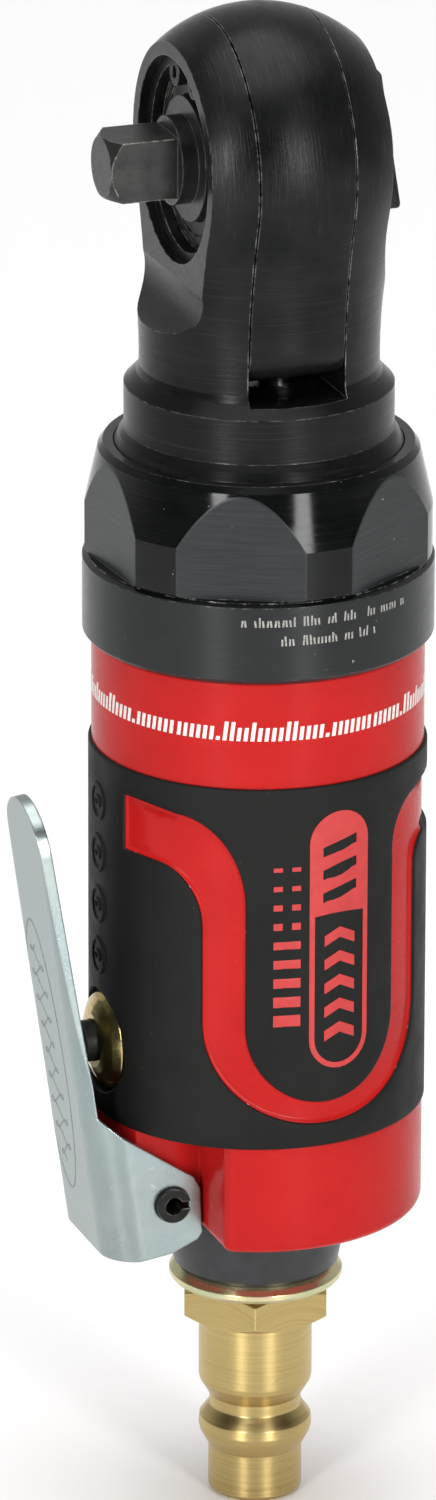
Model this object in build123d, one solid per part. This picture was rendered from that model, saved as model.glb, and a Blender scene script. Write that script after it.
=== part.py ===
from build123d import *
import os
from math import acos, asin, cos, pi, radians, sin, sqrt, tan

# Compact 1/4 inch pneumatic ratchet. Millimetres, +Z along the body from the air plug to the head.
# The origin is on the body axis at the plug's open end. The square drive and the lever are on -X.

# ---------------------------------------------------------------- driving dimensions
ANVIL_Z = 148.2          # height of the anvil's axis, which runs along X
SQUARE = 6.35            # 1/4 inch drive
SQUARE_TIP_X = -17.2
BALL_X = -13.2           # retaining ball of the square, on its +Y side
CROWN_R = 15.4           # ball shape of the head
NECK_R = 12.4
BLEND_R = 60.0           # hollow blend from neck to ball
LEFT_EAR_X = -9.5
RIGHT_EAR_X = 10.2
SLOT_HALF = 5.25         # half the gap between the ears
YOKE_HALF = 5.1
SLOT_FLOOR_Z = 124.7
COLLAR_R = 13.97
COLLAR_BASE_Z = 118.6
COLLAR_TOP_Z = 123.7
HEAD_BASE_Z = 104.0
FLANGE_R = 15.85
FLANGE_TOP_Z = 109.5
SPIGOT_R = 14.95
EAR_BORE_R = 10.7
REAR_JOURNAL_R = 7.4
KNOB_R = 8.4

YOKE_TEETH = 72
YOKE_SWING_DEG = 5.0     # each way; one crank turn moves the yoke two teeth
TOOTH_TIP_R = 9.75
TOOTH_ROOT_R = 10.15
TAIL_R = 23.3            # round end of the yoke's fork, about the anvil's axis
DRUM_R = 9.5
PAWL_PIVOT = 7.7         # from the anvil's axis to the pawl pin
PAWL_ROCK_DEG = 5.0
PAWL_HALF = 3.5
TOOTH_GAP = 0.06         # radial gap left in the engaged teeth
PIN_R = 0.9

CRANK_TIP_Z = 131.5
BUSHING_Z = 127.8        # middle of the drive bushing
BUSHING_R = 3.1
FORK_PLAY = 0.35
CRANK_R = 5.0
CRANK_PIN_R = 1.9
RUNNING = 0.05           # radial clearance of a running fit

BORE_R = 13.3            # motor bore of the housing
MOTOR_FLOOR_Z = 60.0
REAR_PLATE_TOP_Z = 66.0
FRONT_PLATE_Z = 88.0
RING_Z = 94.0
ROTOR_R = 9.3
CYLINDER_BORE_R = 10.4
CYLINDER_OFFSET = 1.0    # the cylinder's bore is off centre towards +X
VANES = 5
VANE_THICK = 1.5
VANE_FLOOR_R = 4.6

MODULE = 0.6
PRESSURE = radians(25)
SUN_TEETH = 12
PLANET_TEETH = 12
RING_TEETH = 36
PLANETS = 3
ADDENDUM = 0.85 * MODULE
DEDENDUM = 1.15 * MODULE
THINNING = 0.02          # taken off each flank for backlash
PLANET_ORBIT = MODULE * (SUN_TEETH + PLANET_TEETH) / 2
GEAR_LOW_Z = 94.8
GEAR_HIGH_Z = 100.2

HOUSING_BASE_Z = 33.6
HOUSING_R = 17.4
GRIP_LOW_Z = 45.4
GRIP_HIGH_Z = 85.1
GRIP_R = 17.65
UNDER_GRIP_R = 16.1
RED_RING_R = 17.31
THREAD_R = 16.4
RED_RING_TOP_Z = 97.0

NUT_LOW_Z = 96.7
NUT_TOP_Z = 117.4
NUT_BAND_R = 18.25
NUT_STEP_Z = 105.3
NUT_R = 18.0
NUT_FLAT = 16.75         # from the axis to each milled flat
NUT_FLAT_DEG = 184.0     # direction of the first flat

LEVER_PIVOT_X = -12.4
LEVER_PIVOT_Z = 37.2
LEVER_PIN_R = 1.85
LEVER_LEAN_DEG = 8.3
LEVER_FOOT_X = -20.2     # outer face at LEVER_FOOT_Z
LEVER_FOOT_Z = 38.7
LEVER_THICK = 1.2
LEVER_BEND_R = 3.9       # outside of the bend from plate to ear
LEVER_TOP_Z = 80.9
EAR_OUTER_Y = 8.6
CHEEK_Y = 7.1            # flats on the housing between the lever's ears
NOTCH_X = -8.8

VALVE_Z = 53.2
VALVE_STEM_R = 2.2
STEM_TIP_X = -20.98
BUSHING_INNER_X = -8.0
CHAMBER_R = 4.0
CHAMBER_END_X = 8.0
VALVE_HEAD_X = -5.2      # spring side of the valve head

DEFLECTOR_LOW_Z = 26.2
DEFLECTOR_LOW_R = 8.75
DEFLECTOR_R = 9.85
WASHER_LOW_Z = 24.4
WASHER_R = 9.15
PLUG_R = 6.0
PLUG_TIP_R = 4.95
PLUG_BORE_R = 3.6
HEX_FLATS = 15.0
HEX_LOW_Z = 20.6
PLUG_THREAD_R = 6.58     # 1/4 inch pipe thread, drawn as a plain cylinder
INLET_THREAD_R = 8.2

# ---------------------------------------------------------------- frames and helpers
ANVIL_FRAME = Plane(origin=(0, 0, ANVIL_Z), x_dir=(0, 1, 0), z_dir=(1, 0, 0))
VALVE_FRAME = Plane(origin=(0, 0, VALVE_Z), x_dir=(0, 1, 0), z_dir=(1, 0, 0))
PIVOT_FRAME = Plane(origin=(LEVER_PIVOT_X, 0, LEVER_PIVOT_Z), x_dir=(1, 0, 0), z_dir=(0, -1, 0))
ON_BASE = (Align.CENTER, Align.CENTER, Align.MIN)


def rod(radius, low, high):
    """Solid cylinder about the local Z axis, between two heights."""
    return Pos(0, 0, low) * Cylinder(radius, high - low, align=ON_BASE)


def tube(outer, inner, low, high):
    """Plain tube about the local Z axis."""
    return rod(outer, low, high) - rod(inner, low - 1, high + 1)


def turned(*points):
    """Solid turned about the local Z axis from (radius, height) corners."""
    return revolve(Plane.XZ * make_face(Polyline(*points, close=True)), Axis.Z)


def block(low, high):
    """Box between two opposite corners."""
    size = [b - a for a, b in zip(low, high)]
    return Pos(*low) * Box(*size, align=(Align.MIN,) * 3)


def polar(radius, degrees):
    """Point at a radius and an angle in a drawing plane."""
    return radius * cos(radians(degrees)), radius * sin(radians(degrees))


def around(count, shape, first=0.0):
    """Copies of a shape evenly spaced about the local Z axis."""
    return [Rot(0, 0, first + k * 360 / count) * shape for k in range(count)]


def joined(shapes):
    """Several separate solids as one compound."""
    return Compound(children=[s.solid() for s in shapes])


def spring(radius, wire, low, high, turns):
    """Round-wire helical spring about the local Z axis, its wire inside the two heights."""
    rise = high - low - 2 * wire
    path = Pos(0, 0, low + wire) * Helix(rise / turns, rise, radius)
    section = Plane(origin=path @ 0, z_dir=path % 0) * Circle(wire)
    return sweep(section, path=path, is_frenet=True)


def ball_bearing(bore, outside, low, high, balls, ball_r):
    """Inner race, outer race and balls of a deep-groove bearing about the local Z axis."""
    pitch = (bore + outside) / 2
    middle = (low + high) / 2
    groove = Pos(0, 0, middle) * Torus(pitch, ball_r + 0.03)
    inner = tube(pitch - 0.45 * ball_r, bore, low, high) - groove
    outer = tube(outside, pitch + 0.45 * ball_r, low, high) - groove
    ring = joined(around(balls, Pos(pitch, 0, middle) * Sphere(ball_r)))
    return inner, outer, ring


# ---------------------------------------------------------------- gears
def involute(angle):
    return tan(angle) - angle


def gear_face(teeth, tip, root, thinning, first_deg):
    """Gear outline with involute flanks; the first tooth is centred on first_deg."""
    pitch_r = MODULE * teeth / 2
    base_r = pitch_r * cos(PRESSURE)
    half_at_pitch = pi / 2 / teeth - thinning / pitch_r
    steps = 5
    flank = []
    for i in range(steps + 1):
        radius = root + (tip - root) * i / steps
        angle = acos(min(1.0, base_r / max(radius, base_r)))
        flank.append((radius, half_at_pitch + involute(PRESSURE) - involute(angle)))
    points = []
    for k in range(teeth):
        centre = radians(first_deg) + 2 * pi * k / teeth
        points += [(r * cos(centre - a), r * sin(centre - a)) for r, a in flank]
        points += [(r * cos(centre + a), r * sin(centre + a)) for r, a in reversed(flank)]
    return make_face(Polyline(*points, close=True))


def pinion(teeth, first_deg, low, high):
    """External gear about the local Z axis."""
    pitch_r = MODULE * teeth / 2
    face = gear_face(teeth, pitch_r + ADDENDUM, pitch_r - DEDENDUM, THINNING, first_deg)
    return extrude(Pos(0, 0, low) * face, high - low)


def ring_gear():
    """Fixed internal gear; its tooth spaces are a slightly fat external gear."""
    pitch_r = MODULE * RING_TEETH / 2
    half_pitch_deg = 180 / RING_TEETH
    spaces = gear_face(
        RING_TEETH, pitch_r + DEDENDUM, pitch_r - ADDENDUM, -THINNING, half_pitch_deg
    )
    return rod(BORE_R - 0.02, RING_Z, HEAD_BASE_Z) - extrude(Pos(0, 0, RING_Z) * spaces, 10.0)


def planet_gear(k):
    """Planet on its pin, with a tooth space facing the sun."""
    direction = 360 * k / PLANETS
    gear = pinion(PLANET_TEETH, direction + 180 + 180 / PLANET_TEETH, GEAR_LOW_Z, GEAR_HIGH_Z)
    gear -= rod(1.5 + RUNNING, GEAR_LOW_Z - 1, GEAR_HIGH_Z + 1)
    return Pos(*polar(PLANET_ORBIT, direction), 0) * gear


def planet_pins():
    """Three steel pins pressed into the carrier disc."""
    pin = Pos(PLANET_ORBIT, 0, 0) * rod(1.5, GEAR_LOW_Z - 0.3, 104.2)
    return joined(around(PLANETS, pin))


# ---------------------------------------------------------------- crank
def crank_throw():
    """Offset of the crank pin that swings the yoke by its limit each way."""
    return (ANVIL_Z - BUSHING_Z) * sin(radians(YOKE_SWING_DEG))


def crankshaft():
    """Planet carrier disc, journal and eccentric pin in one piece."""
    body = rod(9.9, 100.6, 104.5) + rod(CRANK_R, 104.5, 123.6)
    body = chamfer(body.edges().group_by(Axis.Z)[-1], 0.4)
    pin = Pos(crank_throw(), 0, 0) * rod(CRANK_PIN_R, 123.6, CRANK_TIP_Z)
    pin = chamfer(pin.edges().group_by(Axis.Z)[-1], 0.3)
    holes = around(PLANETS, Pos(PLANET_ORBIT, 0, 0) * rod(1.5, 100, 104.2))
    windows = around(PLANETS, Pos(7.4, 0, 0) * rod(1.1, 100, 105), first=60)
    return body + pin - holes - windows


def drive_bushing():
    """Barrel-shaped bushing that runs on the crank pin inside the yoke's fork."""
    inner = CRANK_PIN_R + RUNNING
    end_r = BUSHING_R - 0.5
    barrel = turned(
        (inner, -3.4), (end_r, -3.4), (BUSHING_R, -1.6), (BUSHING_R, 1.6), (end_r, 3.4), (inner, 3.4)
    )
    return Pos(crank_throw(), 0, BUSHING_Z) * barrel


def needle_bearing():
    """Drawn cup pressed in the neck, and the ring of needles between it and the journal."""
    needle_r = 0.9
    ring_r = CRANK_R + 0.025 + needle_r
    cup = turned((6.85, 107.6), (6.85, 119.4), (5.4, 119.4), (5.4, 120), (8, 120), (8, 107), (6.85, 107))
    needles = joined(around(16, Pos(ring_r, 0, 0) * rod(needle_r, 108, 119)))
    return cup, needles


# ---------------------------------------------------------------- ratchet head
def head_envelope():
    """Neck, hollow blend and ball that the head and the yoke share."""
    reach = NECK_R + BLEND_R
    drop = sqrt((CROWN_R + BLEND_R) ** 2 - reach**2)
    share = CROWN_R / (CROWN_R + BLEND_R)
    blend_low = (NECK_R, ANVIL_Z - drop)
    blend_high = (reach * share, ANVIL_Z - drop * share)
    dip = asin(drop / (CROWN_R + BLEND_R))
    blend_mid = (reach - BLEND_R * cos(dip / 2), ANVIL_Z - drop + BLEND_R * sin(dip / 2))
    crown_turn = (pi / 2 - dip) / 2
    crown_mid = (CROWN_R * cos(crown_turn), ANVIL_Z + CROWN_R * sin(crown_turn))
    top = (0, ANVIL_Z + CROWN_R)
    outline = [
        Line((0, COLLAR_TOP_Z), (NECK_R, COLLAR_TOP_Z)),
        Line((NECK_R, COLLAR_TOP_Z), blend_low),
        ThreePointArc(blend_low, blend_mid, blend_high),
        ThreePointArc(blend_high, crown_mid, top),
        Line(top, (0, COLLAR_TOP_Z)),
    ]
    return revolve(Plane.XZ * make_face(Curve() + outline), Axis.Z)


def ratchet_head():
    """Forged head: flange, spigot, neck and two ears with the anvil's bores."""
    base = turned(
        (0, HEAD_BASE_Z),
        (FLANGE_R, HEAD_BASE_Z),
        (FLANGE_R, FLANGE_TOP_Z),
        (SPIGOT_R, FLANGE_TOP_Z),
        (SPIGOT_R, COLLAR_BASE_Z - 1.2),
        (COLLAR_R + 0.5, COLLAR_BASE_Z - 0.3),
        (COLLAR_R, COLLAR_BASE_Z + 0.4),
        (COLLAR_R, COLLAR_TOP_Z),
        (COLLAR_R - 0.5, COLLAR_TOP_Z + 0.5),
        (NECK_R + 0.3, COLLAR_TOP_Z + 1.3),
        (NECK_R, COLLAR_TOP_Z + 2.1),
        (0, COLLAR_TOP_Z + 2.1),
    )
    head = base + head_envelope()
    head -= block((-SLOT_HALF, -30, SLOT_FLOOR_Z), (SLOT_HALF, 30, 170))
    left_low = 134.9
    left_scoop = 4.0
    head -= block((-30, -30, left_low), (LEFT_EAR_X, 30, 170))
    head -= Pos(LEFT_EAR_X + 0.15 - left_scoop, 0, left_low) * Rot(90, 0, 0) * Cylinder(left_scoop, 60)
    right_low = 142.5
    right_scoop = 20.0
    head -= block((RIGHT_EAR_X, -30, right_low), (30, 30, 170))
    head -= Pos(RIGHT_EAR_X + right_scoop, 0, right_low) * Rot(90, 0, 0) * Cylinder(right_scoop, 60)
    head -= ANVIL_FRAME * rod(KNOB_R + 0.3, RIGHT_EAR_X, 20)
    head -= ANVIL_FRAME * rod(EAR_BORE_R, LEFT_EAR_X - 5, 0)
    head -= ANVIL_FRAME * rod(EAR_BORE_R + 0.6, -8.4, -7.3)
    head -= ANVIL_FRAME * rod(REAR_JOURNAL_R + RUNNING, 0, 20)
    head -= rod(10.6, HEAD_BASE_Z - 1, 105.8) + rod(8.0, 105, 120) + rod(5.6, 119, 126)
    return head


def yoke_hole(tip, root):
    """Star outline of the ratchet teeth; the first tooth space faces +Y."""
    pitch = 360 / YOKE_TEETH
    flat = 0.17
    points = []
    for k in range(YOKE_TEETH):
        space = k * pitch
        points += [polar(root, space - flat), polar(root, space + flat)]
        points += [polar(tip, space + pitch / 2 - flat), polar(tip, space + pitch / 2 + flat)]
    return make_face(Polyline(*points, close=True))


def yoke():
    """Oscillating ring with internal ratchet teeth and a fork for the drive bushing."""
    body = head_envelope() & block((-YOKE_HALF, -20, 120), (YOKE_HALF, 20, 170))
    body &= ANVIL_FRAME * Cylinder(TAIL_R, 20)
    body = fillet(body.edges().filter_by_position(Axis.Z, 127, 130), 3.5)
    body -= ANVIL_FRAME * extrude(yoke_hole(TOOTH_TIP_R, TOOTH_ROOT_R), 20, both=True)
    fork_half = BUSHING_R + 1.4 * crank_throw() + FORK_PLAY
    gap = block((-10, -fork_half, 120), (10, fork_half, 133.2))
    return body - fillet(gap.edges().filter_by(Axis.X).group_by(Axis.Z)[-1], 2.0)


def anvil():
    """Drive square, hub, retaining flange, pawl drum and rear journal."""
    shaft = rod(DRUM_R, -5.0, 5.0) + rod(EAR_BORE_R - RUNNING, -6.15, -5.35) + rod(9.0, -5.4, -4.9)
    shaft += rod(6.5, -8.2, -6.1) + rod(4.6, -10.0, -8.1) + rod(REAR_JOURNAL_R, 4.9, RIGHT_EAR_X - 0.3)
    corner_r = SQUARE / sqrt(2)
    square = Pos(0, 0, -13.1) * Box(SQUARE, SQUARE, -2 * (SQUARE_TIP_X + 13.1))
    square &= turned(
        (0, SQUARE_TIP_X), (3.1, SQUARE_TIP_X), (corner_r, SQUARE_TIP_X + 1.3), (corner_r, -9), (0, -9)
    )
    shaft += square
    shaft -= rod(3.0 + RUNNING, -3.0, 12.0)
    pocket = tube(DRUM_R + 1, 5.1, -PAWL_HALF - 0.1, PAWL_HALF + 0.1)
    shaft -= pocket & wedge(24, 156, 12)
    shaft -= tube(5.5, 2.0, -1.3, 1.3) & wedge(50, 130, 12)
    shaft -= Pos(0, PAWL_PIVOT, 0) * rod(PIN_R, -4.8, 5.1)
    shaft -= Pos(0, 0, BALL_X) * Rot(0, 90, 0) * rod(1.25, 0.6, 5)
    return ANVIL_FRAME * shaft


def wedge(first_deg, last_deg, reach):
    """Sector prism about the local Z axis, 40 mm long."""
    steps = 6
    turn = (last_deg - first_deg) / steps
    rim = [polar(2 * reach, first_deg + k * turn) for k in range(steps + 1)]
    return extrude(make_face(Polyline((0, 0), *rim, close=True)), 20, both=True)


def pawl_pad(side):
    """One toothed end of the pawl, made where it engages and rocked back to neutral."""
    teeth = yoke_hole(TOOTH_TIP_R - TOOTH_GAP, TOOTH_ROOT_R - TOOTH_GAP)
    pad = extrude(teeth, PAWL_HALF, both=True) - Cylinder(6.6, 30)
    low, high = (35, 50) if side > 0 else (130, 145)
    pad &= wedge(low, high, 12)
    return Pos(0, PAWL_PIVOT, 0) * Rot(0, 0, -side * PAWL_ROCK_DEG) * Pos(0, -PAWL_PIVOT, 0) * pad


def pawl():
    """Double-ended rocking pawl, drawn in its neutral position."""
    bow = tube(9.0, 6.1, -PAWL_HALF, PAWL_HALF) & wedge(38, 142, 12)
    body = bow + pawl_pad(1) + pawl_pad(-1)
    return ANVIL_FRAME * (body - Pos(0, PAWL_PIVOT, 0) * rod(PIN_R + RUNNING, -9, 9))


def pawl_pin():
    return ANVIL_FRAME * Pos(0, PAWL_PIVOT, 0) * rod(PIN_R, -4.8, 4.9)


def circlip():
    """Internal retaining ring with two plier lugs near the top of the bore."""
    ring = tube(EAR_BORE_R + 0.5, 9.7, -8.35, -7.35) - (tube(12, 8, -9, -7) & wedge(84, 96, 9))
    for degrees in (72, 108):
        spot = Pos(*polar(8.9, degrees), 0)
        ring += spot * rod(1.45, -8.35, -7.35)
        ring -= spot * rod(0.7, -9, -7)
    return ANVIL_FRAME * ring


def thrust_washer():
    """Stepped washer between the retaining ring and the anvil's flange."""
    washer = tube(EAR_BORE_R - RUNNING, 6.6, -7.25, -6.25)
    washer -= tube(9.4, 8.9, -8, -7.0) + tube(8.2, 7.8, -8, -7.05)
    return ANVIL_FRAME * washer


def reverse_knob():
    """Thumb knob with a sloping tab, and the shaft that carries the detent plunger."""
    base = RIGHT_EAR_X + 0.2
    disc = rod(KNOB_R, base, base + 1.0)
    tab = block((-3.7, -6.4, base), (3.7, 8.0, 15)) & rod(KNOB_R, base, 15)
    slope = make_face(Polyline((-9, 14.6), (9, 11.8), (9, 9.0), (-9, 9.0), close=True))
    tab &= Plane(origin=(-10, 0, 0), x_dir=(0, 1, 0), z_dir=(1, 0, 0)) * extrude(slope, 20)
    lip = tab.edges().filter_by(Axis.X).sort_by(Axis.Z)[-1]
    grip = fillet(tab.edges().group_by(SortBy.LENGTH)[-1] + [lip], 0.6) + disc
    shaft = rod(3.0, -2.6, base + 0.1) - Rot(-90, 0, 0) * rod(1.15, -1.5, 5)
    return ANVIL_FRAME * (grip + shaft)


def detent_plunger():
    """Round-nosed plunger in the knob's shaft that presses on the pawl."""
    pin = rod(1.1, 1.2, 4.5) + Pos(0, 0, 4.4) * Sphere(1.1)
    return ANVIL_FRAME * Rot(-90, 0, 0) * pin


def detent_spring():
    return ANVIL_FRAME * Rot(-90, 0, 0) * spring(0.8, 0.15, -1.45, 1.15, 5)


def square_ball():
    """Ball in the side of the square that holds a socket."""
    return ANVIL_FRAME * Pos(SQUARE / 2 - 0.75, 0, BALL_X) * Sphere(1.2)


def square_spring():
    hole = ANVIL_FRAME * Pos(0, 0, BALL_X) * Rot(0, 90, 0)
    return hole * spring(0.85, 0.14, 0.65, SQUARE / 2 - 2.0, 2)


# ---------------------------------------------------------------- motor
def rotor():
    """Slotted rotor with its journals and the sun pinion."""
    body = rod(ROTOR_R, 66.2, 87.8) + rod(2.5, 60.4, 66.3) + rod(4.5, 87.7, 94.3)
    slot = block((VANE_FLOOR_R, -VANE_THICK / 2 - 0.05, 60), (20, VANE_THICK / 2 + 0.05, 90))
    slot &= rod(20, 66.2, 87.8)
    body -= around(VANES, slot)
    return body + pinion(SUN_TEETH, 0, 94.2, GEAR_HIGH_Z)


def vane(k):
    """Composite vane at the bottom of its slot."""
    blade = block((VANE_FLOOR_R + 0.2, -VANE_THICK / 2, 66.35), (ROTOR_R - 0.05, VANE_THICK / 2, 87.65))
    return Rot(0, 0, k * 360 / VANES) * blade


def dowel_hole():
    return Pos(-11.35, 0, 0) * rod(0.9, 61, 93)


def exhaust_holes(radius, low, high):
    """Pair of exhaust passages at +Y and -Y."""
    return around(2, Pos(0, 11.9, 0) * rod(radius, low, high))


def cylinder():
    """Motor cylinder with an eccentric bore, exhaust passages and cross holes."""
    body = rod(BORE_R - 0.02, REAR_PLATE_TOP_Z, FRONT_PLATE_Z)
    body -= Pos(CYLINDER_OFFSET, 0, 0) * rod(CYLINDER_BORE_R, 60, 90)
    body -= dowel_hole()
    body -= exhaust_holes(0.8, 60, 84)
    for height in (71, 75, 79, 83):
        body -= Pos(0, 0, height) * Rot(90, 0, 0) * Cylinder(0.7, 24)
    return body


def rear_plate():
    """Rear end plate: bearing pocket, inlet port and exhaust grooves."""
    body = rod(BORE_R - 0.02, MOTOR_FLOOR_Z, REAR_PLATE_TOP_Z)
    body -= rod(5.5, 59, 65.4) + rod(3.0, 59, 67)
    body -= dowel_hole()
    body -= Pos(10.3, 0, 0) * rod(0.9, 59, 67)
    body -= exhaust_holes(0.8, 59, 67)
    body -= block((-1, 8, 59), (1, 12.5, 61.5)) + block((-1, -12.5, 59), (1, -8, 61.5))
    return body


def front_plate():
    """Front end plate with the pocket of the larger bearing."""
    body = rod(BORE_R - 0.02, FRONT_PLATE_Z, RING_Z) - rod(8.5, 88.6, 95) - rod(5.0, 87, 90)
    return body - dowel_hole()


# ---------------------------------------------------------------- housing
def motor_housing():
    """Painted light-alloy housing: motor bore, valve chamber, inlet and lever lug."""
    body = turned(
        (0, HOUSING_BASE_Z),
        (HOUSING_R, HOUSING_BASE_Z),
        (HOUSING_R, GRIP_LOW_Z),
        (UNDER_GRIP_R, GRIP_LOW_Z),
        (UNDER_GRIP_R, GRIP_HIGH_Z),
        (RED_RING_R, GRIP_HIGH_Z),
        (RED_RING_R, RED_RING_TOP_Z - 0.6),
        (RED_RING_R - 0.6, RED_RING_TOP_Z),
        (THREAD_R, RED_RING_TOP_Z),
        (THREAD_R, HEAD_BASE_Z),
        (0, HEAD_BASE_Z),
    )
    notch = block((-30, CHEEK_Y, 30), (NOTCH_X, 30, GRIP_LOW_Z))
    body -= [notch, mirror(notch, about=Plane.XZ)]
    uprights = body.edges().filter_by(Axis.Z).filter_by_position(Axis.X, NOTCH_X - 0.1, NOTCH_X + 0.1)
    body = fillet(uprights.sort_by(Axis.Y)[0:1] + uprights.sort_by(Axis.Y)[-1:], 1.2)
    body = fillet(body.edges().group_by(Axis.Z)[0], 0.9)
    body -= rod(BORE_R, MOTOR_FLOOR_Z, 110)
    body -= rod(DEFLECTOR_R + 0.05, 30, 40) + rod(INLET_THREAD_R, 30, 43.5)
    body -= rod(3.5, 43, VALVE_Z)
    body -= VALVE_FRAME * (rod(5.0, -30, BUSHING_INNER_X) + rod(CHAMBER_R, -10, CHAMBER_END_X))
    body -= VALVE_FRAME * rod(5.6, -30, -15.6)
    body -= Pos(8.6, 0, 58.2) * Rot(0, 38, 0) * Cylinder(1.2, 9) & block((0, -3, 50), (12, 3, 61))
    body -= around(2, Pos(0, 9.0, 0) * rod(1.1, 39, 61))
    return body - PIVOT_FRAME * Cylinder(LEVER_PIN_R, 40)


def grip_sleeve():
    """Moulded rubber sleeve over the housing, cut away around the valve bushing."""
    sleeve = tube(GRIP_R, UNDER_GRIP_R, GRIP_LOW_Z, GRIP_HIGH_Z)
    rims = sleeve.edges().filter_by(GeomType.CIRCLE).sort_by(SortBy.RADIUS)[-2:]
    sleeve = fillet(rims, 0.35)
    return sleeve - VALVE_FRAME * rod(5.6, -30, -10)


def clamp_nut():
    """Coupling nut that clamps the head on the housing, with six milled flats."""
    nut = turned(
        (THREAD_R, NUT_LOW_Z),
        (NUT_BAND_R - 0.5, NUT_LOW_Z),
        (NUT_BAND_R, NUT_LOW_Z + 0.5),
        (NUT_BAND_R, NUT_STEP_Z - 0.3),
        (NUT_BAND_R - 0.6, NUT_STEP_Z),
        (NUT_R, NUT_STEP_Z + 0.3),
        (NUT_R, 110.7),
        (16.65, NUT_TOP_Z - 0.7),
        (16.1, NUT_TOP_Z),
        (SPIGOT_R + 0.1, NUT_TOP_Z),
        (SPIGOT_R + 0.1, FLANGE_TOP_Z),
        (FLANGE_R + 0.05, FLANGE_TOP_Z),
        (FLANGE_R + 0.05, HEAD_BASE_Z),
        (THREAD_R, HEAD_BASE_Z),
    )
    nut -= rod(RED_RING_R + 0.05, 96, RED_RING_TOP_Z + 0.05)
    flat = block((NUT_FLAT, -9, NUT_STEP_Z + 0.1), (25, 9, 130))
    return nut - around(6, flat, first=NUT_FLAT_DEG)


# ---------------------------------------------------------------- lever and valve
def lever_plane():
    """Outer face of the lever's front plate: local X is +Y, local Y runs up the plate, local Z inwards."""
    lean = radians(LEVER_LEAN_DEG)
    return Plane(
        origin=(LEVER_FOOT_X, 0, LEVER_FOOT_Z), x_dir=(0, 1, 0), z_dir=(cos(lean), 0, sin(lean))
    )


def lever_front(top):
    """Front view of the lever in its own plane."""
    tip_r = 5.4
    sides = Polyline(
        (-tip_r, top - tip_r), (-6.8, 19.0), (-7.6, 11.5), (-EAR_OUTER_Y, 8.5), (-EAR_OUTER_Y, -9),
        (EAR_OUTER_Y, -9), (EAR_OUTER_Y, 8.5), (7.6, 11.5), (6.8, 19.0), (tip_r, top - tip_r),
    )
    tip = ThreePointArc((tip_r, top - tip_r), (0, top), (-tip_r, top - tip_r))
    return make_face(Curve() + [sides, tip])


def lever_side(top):
    """Side view of the lever in the XZ plane: the leaning plate and the outline of its ears."""
    lean = radians(LEVER_LEAN_DEG)
    across = LEVER_THICK / cos(lean)
    front = []
    for height in (LEVER_FOOT_Z + top, 47.3, 31.1):
        front.append((LEVER_FOOT_X - tan(lean) * (height - LEVER_FOOT_Z), height))
    tip, ear_top, base = front
    return make_face(Polyline(
        base, tip, (tip[0] + across, tip[1]), (ear_top[0] + across, ear_top[1]), (-17.8, 45.2),
        (-10.0, 39.9), (-9.3, 38.6), (-9.1, 33.6), (-9.6, 32.9), (-12.5, 31.6), (-16.0, 31.1), close=True,
    ))


def lever():
    """Pressed steel lever: a channel whose front leans and whose two ears straddle the housing's lug."""
    top = (LEVER_TOP_Z - LEVER_FOOT_Z) / cos(radians(LEVER_LEAN_DEG))
    inside = EAR_OUTER_Y - LEVER_THICK
    outer = block((-EAR_OUTER_Y, -12, 0), (EAR_OUTER_Y, top, 20))
    outer = fillet(outer.edges().filter_by(Axis.Y).group_by(Axis.Z)[0], LEVER_BEND_R)
    inner = block((-inside, -13, LEVER_THICK), (inside, top + 1, 21))
    inner = fillet(inner.edges().filter_by(Axis.Y).group_by(Axis.Z)[0], LEVER_BEND_R - LEVER_THICK)
    body = lever_plane() * (outer - inner)
    body &= extrude(lever_plane() * lever_front(top), 20)
    body &= extrude(Plane.XZ * lever_side(top), 10, both=True)
    return body - PIVOT_FRAME * Cylinder(LEVER_PIN_R + RUNNING, 40)


def lever_pin():
    """Slotted spring pin through the lug and both ears."""
    pin = tube(LEVER_PIN_R, 0.95, -9.3, 9.3) - block((0.3, -0.4, -10), (3, 0.4, 10))
    return PIVOT_FRAME * pin


def valve_bushing():
    """Brass guide bushing with a domed face, screwed into the housing."""
    body = turned(
        (VALVE_STEM_R + 0.06, BUSHING_INNER_X),
        (5.0, BUSHING_INNER_X),
        (5.0, -15.7),
        (5.3, -15.7),
        (5.3, -16.8),
        (4.6, -17.6),
        (3.6, -18.1),
        (2.9, -18.3),
        (VALVE_STEM_R + 0.06, -18.3),
    )
    return VALVE_FRAME * body


def valve_stem():
    """Push stem with its button end under the lever and the valve head inside."""
    stem = turned(
        (0, STEM_TIP_X),
        (1.0, STEM_TIP_X + 0.15),
        (1.8, STEM_TIP_X + 0.7),
        (VALVE_STEM_R, STEM_TIP_X + 1.5),
        (VALVE_STEM_R, -6.6),
        (3.3, -6.5),
        (3.3, VALVE_HEAD_X),
        (1.2, VALVE_HEAD_X),
        (1.2, VALVE_HEAD_X + 2.0),
        (0, VALVE_HEAD_X + 2.0),
    )
    return VALVE_FRAME * (stem - (tube(3, 1.5, -14.2, -13.2)))


def valve_seat():
    """Rubber seat washer between the bushing and the valve head."""
    return VALVE_FRAME * tube(CHAMBER_R - 0.05, VALVE_STEM_R + 0.1, BUSHING_INNER_X, -6.65)


def stem_seal():
    """Small O-ring in the stem's groove."""
    return VALVE_FRAME * Pos(0, 0, -13.7) * Torus(1.86, 0.36)


def valve_spring():
    return VALVE_FRAME * spring(2.3, 0.3, VALVE_HEAD_X + 0.02, CHAMBER_END_X - 0.02, 8)


# ---------------------------------------------------------------- air inlet
def inlet_bushing():
    """Steel bushing screwed into the housing, threaded inside for the air plug."""
    return turned(
        (PLUG_THREAD_R, DEFLECTOR_LOW_Z),
        (7.9, DEFLECTOR_LOW_Z),
        (7.9, HOUSING_BASE_Z + 1),
        (INLET_THREAD_R, HOUSING_BASE_Z + 1),
        (INLET_THREAD_R, 43.0),
        (PLUG_THREAD_R, 43.0),
    )


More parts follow.
